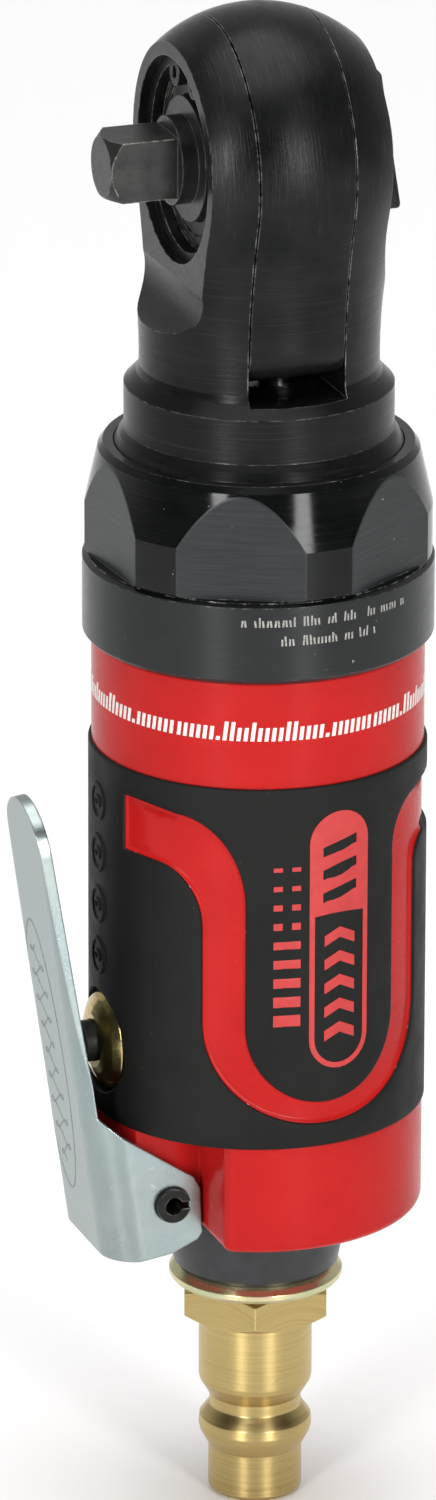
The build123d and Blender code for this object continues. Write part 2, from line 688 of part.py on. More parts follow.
def inlet_screen():
    """Fine screen disc at the end of the plug's thread."""
    disc = rod(PLUG_THREAD_R - 0.05, 41.6, 42.2)
    for ring_r, count in ((1.6, 6), (3.4, 12), (5.2, 18)):
        disc -= around(count, Pos(ring_r, 0, 0) * rod(0.45, 41, 43))
    return disc


def exhaust_deflector():
    """Tapered black ring around the inlet, through which the motor exhausts."""
    return turned(
        (7.95, DEFLECTOR_LOW_Z),
        (DEFLECTOR_LOW_R - 0.4, DEFLECTOR_LOW_Z),
        (DEFLECTOR_LOW_R, DEFLECTOR_LOW_Z + 0.5),
        (DEFLECTOR_R, 32.6),
        (DEFLECTOR_R, 36.4),
        (8.3, 36.4),
        (8.3, 34.4),
        (7.95, 34.4),
    )


def exhaust_muffler():
    """Sintered ring behind the deflector."""
    return tube(DEFLECTOR_R, INLET_THREAD_R + 0.05, 36.5, 39.6)


def sealing_washer():
    """Plated, slightly dished washer under the plug's hexagon."""
    return turned(
        (PLUG_THREAD_R + 0.05, WASHER_LOW_Z + 0.6),
        (7.4, WASHER_LOW_Z),
        (WASHER_R - 0.3, WASHER_LOW_Z + 0.1),
        (WASHER_R, WASHER_LOW_Z + 0.5),
        (WASHER_R, WASHER_LOW_Z + 1.0),
        (WASHER_R - 0.5, DEFLECTOR_LOW_Z - 0.3),
        (8.2, DEFLECTOR_LOW_Z),
        (PLUG_THREAD_R + 0.05, DEFLECTOR_LOW_Z),
    )


def air_plug():
    """Quick-coupling plug of the European 7.2 profile, with hexagon and pipe thread."""
    body = turned(
        (0, 0),
        (PLUG_TIP_R - 0.6, 0),
        (PLUG_TIP_R, 0.6),
        (PLUG_TIP_R, 5.2),
        (5.35, 5.9),
        (PLUG_R - 0.15, 6.9),
        (PLUG_R, 7.5),
        (PLUG_R - 0.1, 8.5),
        (5.3, 9.3),
        (4.87, 9.8),
        (4.87, 11.0),
        (PLUG_R - 0.1, 12.7),
        (PLUG_R, 13.2),
        (PLUG_R, HEX_LOW_Z),
        (PLUG_THREAD_R, 24.3),
        (PLUG_THREAD_R, 41.0),
        (0, 41.0),
    )
    corner_r = HEX_FLATS / sqrt(3)
    hexagon = extrude(Pos(0, 0, HEX_LOW_Z) * RegularPolygon(corner_r, 6, rotation=250), 25.0 - HEX_LOW_Z)
    hexagon &= turned(
        (0, HEX_LOW_Z),
        (corner_r - 1.1, HEX_LOW_Z),
        (corner_r, HEX_LOW_Z + 0.7),
        (corner_r, WASHER_LOW_Z - 0.6),
        (7.4, WASHER_LOW_Z),
        (PLUG_THREAD_R, WASHER_LOW_Z + 0.6),
        (0, WASHER_LOW_Z + 0.6),
    )
    return body + hexagon - rod(PLUG_BORE_R, -1, 60)


# ---------------------------------------------------------------- export
def build():
    """Every sub-part by node name."""
    cup, needles = needle_bearing()
    front = ball_bearing(4.5, 8.5, 88.6, 93.6, 9, 1.2)
    rear = ball_bearing(2.5, 5.5, 60.4, 65.4, 7, 1.0)
    parts = {
        "ratchet_head": ratchet_head(),
        "yoke": yoke(),
        "anvil": anvil(),
        "pawl": pawl(),
        "pawl_pin": pawl_pin(),
        "circlip": circlip(),
        "thrust_washer": thrust_washer(),
        "reverse_knob": reverse_knob(),
        "detent_plunger": detent_plunger(),
        "detent_spring": detent_spring(),
        "square_ball": square_ball(),
        "square_spring": square_spring(),
        "crankshaft": crankshaft(),
        "drive_bushing": drive_bushing(),
        "needle_cup": cup,
        "needle_rollers": needles,
        "carrier_washer": tube(9.8, CRANK_R + 0.1, 104.7, 105.8),
        "planet_pins": planet_pins(),
        "ring_gear": ring_gear(),
        "rotor": rotor(),
        "cylinder": cylinder(),
        "rear_plate": rear_plate(),
        "front_plate": front_plate(),
        "motor_dowel": dowel_hole(),
        "front_bearing_inner": front[0],
        "front_bearing_outer": front[1],
        "front_bearing_balls": front[2],
        "rear_bearing_inner": rear[0],
        "rear_bearing_outer": rear[1],
        "rear_bearing_balls": rear[2],
        "motor_housing": motor_housing(),
        "grip_sleeve": grip_sleeve(),
        "clamp_nut": clamp_nut(),
        "lever": lever(),
        "lever_pin": lever_pin(),
        "valve_bushing": valve_bushing(),
        "valve_stem": valve_stem(),
        "valve_seat": valve_seat(),
        "stem_seal": stem_seal(),
        "valve_spring": valve_spring(),
        "inlet_bushing": inlet_bushing(),
        "inlet_screen": inlet_screen(),
        "exhaust_deflector": exhaust_deflector(),
        "exhaust_muffler": exhaust_muffler(),
        "sealing_washer": sealing_washer(),
        "air_plug": air_plug(),
    }
    for k in range(PLANETS):
        parts[f"planet_gear_{k + 1}"] = planet_gear(k)
    for k in range(VANES):
        parts[f"vane_{k + 1}"] = vane(k)
    return parts


os.makedirs("parts", exist_ok=True)
for node, shape in build().items():
    export_step(shape, f"parts/{node}.step")
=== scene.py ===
import math
import random

import bmesh
import bpy
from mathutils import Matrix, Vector
from mathutils.geometry import delaunay_2d_cdt


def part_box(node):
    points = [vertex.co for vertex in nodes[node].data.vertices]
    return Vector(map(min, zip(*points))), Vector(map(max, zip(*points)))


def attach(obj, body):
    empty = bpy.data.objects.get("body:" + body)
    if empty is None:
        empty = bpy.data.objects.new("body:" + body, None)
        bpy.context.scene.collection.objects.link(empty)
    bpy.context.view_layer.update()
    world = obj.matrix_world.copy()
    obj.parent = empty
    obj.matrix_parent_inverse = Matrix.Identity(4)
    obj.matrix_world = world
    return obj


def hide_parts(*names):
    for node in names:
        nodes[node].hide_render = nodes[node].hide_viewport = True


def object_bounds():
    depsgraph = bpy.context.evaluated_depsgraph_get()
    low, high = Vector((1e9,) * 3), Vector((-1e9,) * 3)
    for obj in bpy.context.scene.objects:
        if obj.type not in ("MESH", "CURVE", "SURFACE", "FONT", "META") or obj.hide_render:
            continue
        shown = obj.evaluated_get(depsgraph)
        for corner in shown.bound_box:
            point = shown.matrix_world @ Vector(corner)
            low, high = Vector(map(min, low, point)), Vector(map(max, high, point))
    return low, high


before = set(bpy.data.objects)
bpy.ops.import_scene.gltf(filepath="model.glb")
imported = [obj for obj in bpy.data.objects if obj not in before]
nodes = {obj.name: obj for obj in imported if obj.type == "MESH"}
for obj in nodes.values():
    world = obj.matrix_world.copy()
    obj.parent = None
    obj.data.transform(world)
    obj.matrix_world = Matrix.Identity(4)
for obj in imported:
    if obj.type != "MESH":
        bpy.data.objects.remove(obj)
cad_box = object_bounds()

# ---------------------------------------------------------------- sizes from the frame, in metres
MM = 0.001
GRIP_LOW, GRIP_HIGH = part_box("grip_sleeve")
GRIP_R = GRIP_HIGH.y
UNDER_GRIP_R = 16.1 * MM
RING_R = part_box("motor_housing")[1].y - 0.09 * MM      # the ring stands back from the widest rim
NUT_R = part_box("clamp_nut")[1].y
LEVER_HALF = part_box("lever")[1].y
VALVE_Z = (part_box("valve_bushing")[0].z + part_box("valve_bushing")[1].z) / 2
ANVIL_Z = (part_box("anvil")[0].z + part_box("anvil")[1].z) / 2
OBJECT_HEIGHT = cad_box[1].z


# ---------------------------------------------------------------- node materials
BEVEL_SAMPLES = 6


class Paint:
    """A node material under construction, in object coordinates, so its pattern moves with the piece."""

    def __init__(self, name):
        self.material = bpy.data.materials.new(name)
        self.material.use_nodes = True
        self.tree = self.material.node_tree
        self.shader = self.tree.nodes["Principled BSDF"]
        self.place = self.add("ShaderNodeTexCoord").outputs["Object"]

    def add(self, kind, **settings):
        node = self.tree.nodes.new(kind)
        for key, value in settings.items():
            setattr(node, key, value)
        return node

    def put(self, socket, value):
        """Gives a socket a number or colour, or joins it to another node's output."""
        if isinstance(value, bpy.types.NodeSocket):
            self.tree.links.new(value, socket)
        elif socket.type == "RGBA":
            socket.default_value = (*value, 1.0)
        else:
            socket.default_value = value

    def math(self, operation, a, b=0.0, c=0.0, clamp=False):
        node = self.add("ShaderNodeMath", operation=operation, use_clamp=clamp)
        for socket, value in zip(node.inputs, (a, b, c)):
            self.put(socket, value)
        return node.outputs[0]

    def axes(self):
        """The three object coordinates as separate numbers."""
        node = self.add("ShaderNodeSeparateXYZ")
        self.put(node.inputs[0], self.place)
        return node.outputs

    def vector(self, x, y, z):
        node = self.add("ShaderNodeCombineXYZ")
        for socket, value in zip(node.inputs, (x, y, z)):
            self.put(socket, value)
        return node.outputs[0]

    def stretched(self, x, y, z):
        """Object coordinates scaled along each axis: a large number makes fine detail on that axis."""
        node = self.add("ShaderNodeVectorMath", operation="MULTIPLY")
        self.put(node.inputs[0], self.place)
        node.inputs[1].default_value = (x, y, z)
        return node.outputs[0]

    def turned(self, fine, coarse=60.0, axis="z", height=0.0):
        """Coordinates for lathe marks: fine across them, coarse along them, about the Z or X axis."""
        x, y, z = self.axes()
        if axis == "z":
            across, along, up = z, x, y
        else:
            across, along, up = x, y, self.math("SUBTRACT", z, height)
        rings = self.math("MULTIPLY", self.math("ADD", across, self.length(along, up)), fine)
        return self.vector(self.math("MULTIPLY", along, coarse), self.math("MULTIPLY", up, coarse),
                           rings)

    def length(self, a, b):
        """Distance from the origin of a flat point."""
        return self.math("SQRT", self.math("MULTIPLY_ADD", a, a, self.math("MULTIPLY", b, b)))

    def noise(self, vector, scale=1.0, detail=3.0, rough=0.55):
        node = self.add("ShaderNodeTexNoise")
        self.put(node.inputs["Vector"], vector)
        self.put(node.inputs["Scale"], scale)
        self.put(node.inputs["Detail"], detail)
        self.put(node.inputs["Roughness"], rough)
        return node.outputs["Fac"]

    def grain(self, size, detail=3.0, rough=0.55):
        """Even noise whose features are about this many metres across."""
        return self.noise(self.place, 1.0 / size, detail, rough)

    def spread(self, value, low, high, first=0.0, last=1.0):
        """Maps value from low..high to first..last, clamped."""
        node = self.add("ShaderNodeMapRange")
        for name, item in (("Value", value), ("From Min", low), ("From Max", high),
                           ("To Min", first), ("To Max", last)):
            self.put(node.inputs[name], item)
        return node.outputs["Result"]

    def blend(self, share, first, last):
        """Mixes two colours."""
        node = self.add("ShaderNodeMix", data_type="RGBA")
        self.put(node.inputs[0], share)
        self.put(node.inputs[6], first)
        self.put(node.inputs[7], last)
        return node.outputs[2]

    def edges(self, radius, start=0.985, full=0.90):
        """1 on sharp edges and 0 on plain faces."""
        bevel = self.add("ShaderNodeBevel", samples=BEVEL_SAMPLES)
        bevel.inputs["Radius"].default_value = radius
        plain = self.add("ShaderNodeNewGeometry").outputs["Normal"]
        dot = self.add("ShaderNodeVectorMath", operation="DOT_PRODUCT")
        self.put(dot.inputs[0], bevel.outputs[0])
        self.put(dot.inputs[1], plain)
        return self.spread(dot.outputs["Value"], full, start, 1.0, 0.0)

    def bump(self, height, depth, strength=1.0, after=None, bevel=None):
        """Tilts the surface by a height map of this depth in metres."""
        node = self.add("ShaderNodeBump")
        self.put(node.inputs["Height"], height)
        node.inputs["Distance"].default_value = depth
        node.inputs["Strength"].default_value = strength
        if after is not None:
            self.put(node.inputs["Normal"], after)
        elif bevel is not None:
            rounded = self.add("ShaderNodeBevel", samples=BEVEL_SAMPLES)
            rounded.inputs["Radius"].default_value = bevel
            self.put(node.inputs["Normal"], rounded.outputs[0])
        self.put(self.shader.inputs["Normal"], node.outputs[0])
        return node.outputs[0]

    def lathed(self, amount, axis="Z"):
        """Stretches highlights across marks that run round the Z or X axis."""
        node = self.add("ShaderNodeTangent", direction_type="RADIAL", axis=axis)
        self.put(self.shader.inputs["Tangent"], node.outputs[0])
        self.shader.inputs["Anisotropic"].default_value = amount
        self.shader.inputs["Anisotropic Rotation"].default_value = 0.25

    def finish(self, **values):
        """Sets the surface's inputs by name, with underscores for spaces."""
        for name, value in values.items():
            self.put(self.shader.inputs[name.replace("_", " ")], value)
        return self.material


NECK_LOW_Z, NECK_HIGH_Z = 140.0 * MM, 145.5 * MM       # where turning marks give way to polish


def black_oxide_head():
    """Forged head: polished streaks over the ball, turning marks on the neck, bright worn edges."""
    p = Paint("black_oxide_head")
    neck = p.spread(p.axes()[2], NECK_LOW_Z, NECK_HIGH_Z, 1.0, 0.0)
    polish = p.noise(p.stretched(5200, 260, 260), detail=4.0, rough=0.65)
    turning = p.noise(p.turned(5200, 90), detail=4.0, rough=0.65)
    streak = p.math("ADD", p.math("MULTIPLY", turning, neck),
                    p.math("MULTIPLY", polish, p.math("SUBTRACT", 1.0, neck)))
    cloud = p.grain(0.006, 4.0)
    base = p.blend(p.spread(cloud, 0.3, 0.75), (0.0040, 0.0045, 0.0045), (0.0115, 0.0125, 0.0115))
    base = p.blend(p.spread(streak, 0.55, 0.8, 0.0, 0.5), base, (0.042, 0.043, 0.040))
    worn = p.math("MULTIPLY", p.edges(0.00022), p.spread(p.grain(0.0012, 4.0, 0.7), 0.42, 0.64))
    base = p.blend(p.math("MULTIPLY", worn, 0.55), base, (0.42, 0.41, 0.38))
    shine = p.spread(streak, 0.3, 0.75, 0.34, 0.22)
    rough = p.math("ADD", shine, p.spread(cloud, 0.2, 0.8, -0.03, 0.05))
    p.bump(streak, 0.00003, 0.8, bevel=0.00018)
    p.lathed(0.55)
    return p.finish(Base_Color=base, Metallic=0.3, Roughness=rough, Specular_IOR_Level=0.17)


def black_oxide_small(name, axis="x"):
    """Small blackened parts in the head: turned, with slightly oily pits and worn edges."""
    p = Paint(name)
    marks = p.noise(p.turned(6500, 120, axis, ANVIL_Z), detail=3.0)
    cloud = p.grain(0.0022, 4.0, 0.6)
    base = p.blend(p.spread(cloud, 0.35, 0.7), (0.008, 0.009, 0.008), (0.023, 0.024, 0.022))
    worn = p.math("MULTIPLY", p.edges(0.00018), p.spread(p.grain(0.0009, 3.0), 0.42, 0.62))
    base = p.blend(p.math("MULTIPLY", worn, 0.7), base, (0.38, 0.37, 0.34))
    rough = p.spread(marks, 0.3, 0.7, 0.34, 0.48)
    p.bump(p.math("ADD", marks, cloud), 0.00002, 0.5, bevel=0.00015)
    return p.finish(Base_Color=base, Metallic=0.4, Roughness=rough, Specular_IOR_Level=0.18)


RUBBED_TO_X, PLAIN_FROM_X = -10.6 * MM, -10.2 * MM      # at the square's foot


def square_steel():
    """Drive square and its hub: brushed along the square, whose corners are rubbed bright."""
    p = Paint("square_steel")
    along = p.noise(p.stretched(240, 5200, 5200), detail=3.0, rough=0.6)
    cloud = p.grain(0.0025, 4.0, 0.6)
    base = p.blend(p.spread(cloud, 0.35, 0.7), (0.015, 0.016, 0.015), (0.036, 0.038, 0.035))
    worn = p.math("MULTIPLY", p.edges(0.00022), p.spread(p.grain(0.0007, 3.0, 0.7), 0.40, 0.60))
    rubbed = p.spread(p.axes()[0], RUBBED_TO_X, PLAIN_FROM_X, 0.85, 0.12)
    base = p.blend(p.math("MULTIPLY", worn, rubbed), base, (0.50, 0.47, 0.41))
    p.bump(p.math("ADD", along, cloud), 0.00003, 0.5, bevel=0.0002)
    return p.finish(Base_Color=base, Metallic=0.55, Roughness=p.spread(along, 0.3, 0.7, 0.30, 0.46))


NUT_BAND_Z = 105.05 * MM            # top of the lower band
NUT_STEP_Z = 105.4 * MM             # foot of the milled flats
NUT_FLAT = 16.75 * MM               # from the axis to a flat
NUT_FLAT_TURN = math.radians(184)
NUT_FLAT_STEP = math.radians(60)


def nut_black():
    """Coupling nut: gloss black turned faces, brushed milled flats and a satin lower band."""
    p = Paint("nut_black")
    x, y, z = p.axes()
    radius = p.length(x, y)
    turn = p.math("SUBTRACT", p.math("ARCTAN2", y, x), NUT_FLAT_TURN - NUT_FLAT_STEP / 2)
    folded = p.math("SUBTRACT", p.math("FLOORED_MODULO", turn, NUT_FLAT_STEP), NUT_FLAT_STEP / 2)
    depth = p.math("MULTIPLY", radius, p.math("COSINE", folded))
    off_flat = p.math("ABSOLUTE", p.math("SUBTRACT", depth, NUT_FLAT))
    flat = p.spread(off_flat, 0.00004, 0.00007, 1.0, 0.0)
    flat = p.math("MULTIPLY", flat, p.math("GREATER_THAN", z, NUT_STEP_Z))
    band = p.math("LESS_THAN", z, NUT_BAND_Z)
    rings = p.noise(p.turned(7000, 80), detail=3.0, rough=0.6)
    fine = p.noise(p.turned(2600, 40), detail=5.0, rough=0.75)
    milled = p.noise(p.stretched(150, 150, 7000), detail=4.0, rough=0.6)
    cloud = p.grain(0.005, 4.0)
    base = p.blend(p.spread(cloud, 0.35, 0.7), (0.0022, 0.0026, 0.0026), (0.0055, 0.0060, 0.0060))
    base = p.blend(band, base, p.blend(cloud, (0.012, 0.014, 0.014), (0.020, 0.022, 0.023)))
    mill_colour = p.blend(p.spread(milled, 0.3, 0.7), (0.015, 0.018, 0.018), (0.030, 0.035, 0.036))
    base = p.blend(flat, base, mill_colour)
    speck = p.spread(p.grain(0.0006, 2.0, 0.6), 0.755, 0.78)
    worn = p.math("MULTIPLY", p.edges(0.00015), p.spread(p.grain(0.0010, 3.0, 0.7), 0.52, 0.68))
    base = p.blend(p.math("MAXIMUM", speck, p.math("MULTIPLY", worn, 0.7)), base, (0.40, 0.40, 0.37))
    gloss = p.spread(rings, 0.3, 0.7, 0.10, 0.19)
    rough = p.math("ADD", gloss, p.math("MULTIPLY", band, 0.15))
    rough = p.math("ADD", rough, p.math("MULTIPLY", flat, 0.20))
    height = p.math("ADD", p.math("MULTIPLY", rings, 0.5), p.math("MULTIPLY", fine, 0.5))
    height = p.math("ADD", p.math("MULTIPLY", height, p.math("SUBTRACT", 1.0, flat)),
                    p.math("MULTIPLY", milled, flat))
    p.bump(height, 0.00002, 0.45, bevel=0.00016)
    p.lathed(0.6)
    return p.finish(Base_Color=base, Metallic=0.2, Roughness=rough, Specular_IOR_Level=0.27)


def red_gloss(name="red_gloss"):
    """Stoved red paint over cast alloy: slight orange peel, fine dust and a few chipped edges."""
    p = Paint(name)
    cloud = p.grain(0.012, 3.0)
    base = p.blend(p.spread(cloud, 0.3, 0.7), (0.40, 0.0085, 0.0080), (0.47, 0.0125, 0.0115))
    dust = p.spread(p.grain(0.0005, 2.0, 0.6), 0.765, 0.79)
    base = p.blend(p.math("MULTIPLY", dust, 0.4), base, (0.62, 0.30, 0.27))
    chip = p.math("MULTIPLY", p.edges(0.00015), p.spread(p.grain(0.0011, 4.0, 0.75), 0.64, 0.70))
    base = p.blend(chip, base, (0.72, 0.58, 0.55))
    peel = p.grain(0.0011, 2.0)
    p.bump(peel, 0.00002, 0.30, bevel=0.00030)
    rough = p.spread(p.grain(0.004, 4.0), 0.3, 0.7, 0.20, 0.30)
    return p.finish(Base_Color=base, Roughness=rough, Specular_IOR_Level=0.09,
                    Coat_Weight=0.08, Coat_Roughness=0.08)


def grip_rubber():
    """Moulded black rubber: fine matt grain, faint shine where it is handled, a little dust."""
    p = Paint("grip_rubber")
    cloud = p.grain(0.007, 4.0)
    base = p.blend(p.spread(cloud, 0.3, 0.7), (0.0060, 0.0064, 0.0058), (0.0092, 0.0096, 0.0088))
    dust = p.spread(p.grain(0.00045, 2.0, 0.6), 0.765, 0.80)
    base = p.blend(p.math("MULTIPLY", dust, 0.55), base, (0.30, 0.29, 0.27))
    leather = p.add("ShaderNodeTexVoronoi", feature="SMOOTH_F1")
    p.put(leather.inputs["Vector"], p.place)
    leather.inputs["Scale"].default_value = 3600.0
    fine = p.grain(0.00022, 3.0)
    height = p.math("ADD", p.math("MULTIPLY", leather.outputs["Distance"], 0.6), fine)
    p.bump(height, 0.00003, 0.35)
    rough = p.spread(p.grain(0.003, 4.0), 0.3, 0.7, 0.50, 0.62)
    return p.finish(Base_Color=base, Roughness=rough, Specular_IOR_Level=0.16)


def zinc_lever():
    """Zinc-plated sheet: pale blue-grey, cloudy, with fine rolling marks and polished sheared edges."""
    p = Paint("zinc_lever")
    cloud = p.grain(0.0055, 5.0, 0.6)
    tint = p.grain(0.016, 2.0)
    rolled = p.noise(p.stretched(160, 900, 160), scale=4.0, detail=4.0)
    base = p.blend(p.spread(cloud, 0.3, 0.75), (0.265, 0.315, 0.31), (0.35, 0.40, 0.39))
    base = p.blend(p.spread(tint, 0.45, 0.8, 0.0, 0.45), base, (0.285, 0.36, 0.385))
    scratch = p.spread(p.noise(p.stretched(300, 5200, 420), detail=3.0, rough=0.7), 0.66, 0.76)
    base = p.blend(p.math("MULTIPLY", scratch, 0.5), base, (0.78, 0.79, 0.78))
    rim = p.edges(0.00020)
    base = p.blend(p.math("MULTIPLY", rim, 0.5), base, (0.86, 0.87, 0.86))
    rough = p.spread(cloud, 0.3, 0.7, 0.24, 0.36)
    rough = p.math("SUBTRACT", rough, p.math("MULTIPLY", rim, 0.12))
    p.bump(p.math("ADD", rolled, p.math("MULTIPLY", cloud, 0.8)), 0.00005, 0.30, bevel=0.00028)
    return p.finish(Base_Color=base, Metallic=0.92, Roughness=rough)


def turned_brass(name="turned_brass", shine=0.0):
    """Bar brass, turned about the body axis: fine rings, dark handling stains, bright worn lips."""
    p = Paint(name)
    rings = p.noise(p.turned(5200, 70), detail=4.0, rough=0.7)
    broad = p.noise(p.turned(900, 40), detail=3.0)
    cloud = p.grain(0.004, 4.0)
    base = p.blend(p.spread(rings, 0.3, 0.7), (0.46, 0.34, 0.13), (0.60, 0.46, 0.20))
    base = p.blend(p.spread(cloud, 0.4, 0.8, 0.0, 0.45), base, (0.48, 0.38, 0.18))
    stain = p.spread(p.grain(0.0017, 3.0, 0.6), 0.70, 0.76)
    base = p.blend(p.math("MULTIPLY", stain, 0.65), base, (0.22, 0.14, 0.06))
    rim = p.math("MULTIPLY", p.edges(0.00020), 0.45)
    base = p.blend(rim, base, (0.95, 0.80, 0.48))
    rough = p.math("SUBTRACT", p.spread(rings, 0.3, 0.7, 0.26, 0.38), shine)
    p.bump(p.math("ADD", rings, broad), 0.00002, 0.45, bevel=0.00018)
    p.lathed(0.6)
    return p.finish(Base_Color=base, Metallic=1.0, Roughness=rough)


def passivated_washer():
    """Yellow-passivated steel with the greenish and pink bloom of the film."""
    p = Paint("passivated_washer")
    film = p.noise(p.stretched(220, 220, 900), detail=3.0)
    base = p.blend(p.spread(film, 0.35, 0.5), (0.52, 0.56, 0.34), (0.66, 0.60, 0.34))
    base = p.blend(p.spread(film, 0.5, 0.7), base, (0.62, 0.50, 0.36))
    rings = p.noise(p.turned(6000, 80), detail=3.0)
    p.bump(rings, 0.00002, 0.4, bevel=0.00015)
    return p.finish(Base_Color=base, Metallic=0.9, Roughness=p.spread(rings, 0.3, 0.7, 0.22, 0.34))


def anodised_black():
    """Deflector: smooth black with a faint blue-grey sheen and fine turning."""
    p = Paint("anodised_black")
    rings = p.noise(p.turned(5200, 70), detail=4.0)
    cloud = p.grain(0.003, 4.0)
    base = p.blend(p.spread(cloud, 0.3, 0.75), (0.020, 0.021, 0.023), (0.036, 0.038, 0.041))
    rub = p.math("MULTIPLY", p.edges(0.00015), p.spread(p.grain(0.0010, 3.0), 0.5, 0.68, 0.0, 0.5))
    base = p.blend(rub, base, (0.20, 0.20, 0.20))
    p.bump(rings, 0.00002, 0.4, bevel=0.00015)
    return p.finish(Base_Color=base, Metallic=0.3, Roughness=p.spread(rings, 0.3, 0.7, 0.30, 0.42))


def machined(name, dark, light, rough=(0.22, 0.36), axis="z"):
    """Bright machined steel for pieces inside the tool."""
    p = Paint(name)
    rings = p.noise(p.turned(5600, 80, axis, ANVIL_Z), detail=4.0, rough=0.65)
    oil = p.grain(0.003, 4.0)
    base = p.blend(p.spread(rings, 0.3, 0.7), dark, light)
    base = p.blend(p.spread(oil, 0.55, 0.8, 0.0, 0.4), base, tuple(0.55 * c for c in dark))
    rim = p.math("MULTIPLY", p.edges(0.00010), 0.4)
    base = p.blend(rim, base, tuple(min(1.0, 1.25 * c) for c in light))
    p.bump(rings, 0.00002, 0.4, bevel=0.00008)
    return p.finish(Base_Color=base, Metallic=1.0, Roughness=p.spread(oil, 0.3, 0.7, *rough))


def wire_steel():
    """Drawn spring wire with light lengthwise marks."""
    p = Paint("wire_steel")
    marks = p.grain(0.0003, 3.0)
    base = p.blend(p.spread(marks, 0.3, 0.7), (0.34, 0.34, 0.35), (0.62, 0.62, 0.62))
    p.bump(marks, 0.00001, 0.4)
    return p.finish(Base_Color=base, Metallic=1.0, Roughness=p.spread(marks, 0.3, 0.7, 0.22, 0.34))


def seal_rubber():
    """Smooth black nitrile of the valve seals."""
    p = Paint("seal_rubber")
    mottle = p.grain(0.0006, 3.0)
    base = p.blend(p.spread(mottle, 0.3, 0.7), (0.010, 0.010, 0.010), (0.020, 0.020, 0.019))
    p.bump(mottle, 0.00002, 0.3)
    return p.finish(Base_Color=base, Roughness=p.spread(mottle, 0.3, 0.7, 0.45, 0.6))


def laminate():
    """Fibre-reinforced vane: brown resin with fine cloth layers."""
    p = Paint("laminate")
    cloth = p.noise(p.stretched(900, 900, 5200), detail=3.0)
    base = p.blend(p.spread(cloth, 0.3, 0.7), (0.13, 0.055, 0.02), (0.27, 0.13, 0.05))
    p.bump(cloth, 0.00003, 0.4)
    return p.finish(Base_Color=base, Roughness=p.spread(cloth, 0.3, 0.7, 0.48, 0.62))


def sintered():
    """Sintered bronze of the muffler: tiny fused beads."""
    p = Paint("sintered")
    beads = p.add("ShaderNodeTexVoronoi")
    p.put(beads.inputs["Vector"], p.place)
    beads.inputs["Scale"].default_value = 2600.0
    cell = beads.outputs["Distance"]
    base = p.blend(p.spread(cell, 0.1, 0.7), (0.42, 0.29, 0.15), (0.12, 0.08, 0.04))
    p.bump(p.math("SUBTRACT", 1.0, cell), 0.00012, 0.8)
    return p.finish(Base_Color=base, Metallic=0.8, Roughness=p.spread(cell, 0.1, 0.7, 0.45, 0.7))


def silver_print():
    """Silver screen print, slightly worn."""
    p = Paint("silver_print")
    ink = p.grain(0.0004, 4.0, 0.7)
    base = p.blend(p.spread(ink, 0.35, 0.6), (0.60, 0.59, 0.56), (0.84, 0.83, 0.80))
    p.bump(ink, 0.00001, 0.3)
    return p.finish(Base_Color=base, Metallic=0.15, Roughness=p.spread(ink, 0.3, 0.7, 0.35, 0.55))


def etched_grey():
    """Laser-etched marks on black: warm grey, grainy."""
    p = Paint("etched_grey")
    ink = p.grain(0.00022, 4.0, 0.7)
    base = p.blend(p.spread(ink, 0.35, 0.65), (0.16, 0.155, 0.145), (0.42, 0.41, 0.38))
    p.bump(ink, 0.00001, 0.4)
    return p.finish(Base_Color=base, Roughness=p.spread(ink, 0.3, 0.7, 0.5, 0.7))


def engraved_grey():
    """Floor of the engraved lines on the lever."""
    p = Paint("engraved_grey")
    ink = p.grain(0.0003, 3.0, 0.7)
    base = p.blend(p.spread(ink, 0.35, 0.65), (0.13, 0.15, 0.16), (0.30, 0.33, 0.34))
    p.bump(ink, 0.00001, 0.4)
    return p.finish(Base_Color=base, Metallic=0.7, Roughness=p.spread(ink, 0.3, 0.7, 0.35, 0.5))


def red_print():
    """Red ink on the rubber: softer than the paint."""
    p = Paint("red_print")
    ink = p.grain(0.0012, 3.0)
    base = p.blend(p.spread(ink, 0.3, 0.7), (0.43, 0.016, 0.015), (0.51, 0.024, 0.022))
    p.bump(p.grain(0.00025, 2.0), 0.00001, 0.3)
    return p.finish(Base_Color=base, Roughness=p.spread(ink, 0.3, 0.7, 0.36, 0.48), Coat_Weight=0.15)


# ---------------------------------------------------------------- meshes wrapped on the body
def on_cylinder(along, height, radius):
    """Point on a cylinder about the body axis; along is an angle in radians."""
    return (radius * math.cos(along), radius * math.sin(along), height)


def new_piece(name, points, faces, material, smooth=True):
    """A mesh object from points and faces, merged, with its normals outward."""
    shape = bmesh.new()
    corners = [shape.verts.new(point) for point in points]
    for face in faces:
        if len(set(face)) > 2:
            shape.faces.new([corners[i] for i in face])
    bmesh.ops.remove_doubles(shape, verts=shape.verts, dist=1e-7)
    bmesh.ops.recalc_face_normals(shape, faces=shape.faces)
    mesh = bpy.data.meshes.new(name)
    shape.to_mesh(mesh)
    shape.free()
    for polygon in mesh.polygons:
        polygon.use_smooth = smooth
    piece = bpy.data.objects.new(name, mesh)
    bpy.context.scene.collection.objects.link(piece)
    mesh.materials.append(material)
    return piece


def soften(piece, degrees=35):
    """Smooth shading that keeps edges sharper than the angle."""
    piece.data.set_sharp_from_angle(angle=math.radians(degrees))


def seat(piece, body):
    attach(piece, body)
    return piece


def arc(centre, half_width, half_height, first, last, steps):
    """Points on an elliptical arc, angles in degrees, from first to last."""
    turns = [math.radians(first + (last - first) * i / steps) for i in range(steps + 1)]
    return [(centre[0] + half_width * math.cos(t), centre[1] + half_height * math.sin(t)) for t in turns]


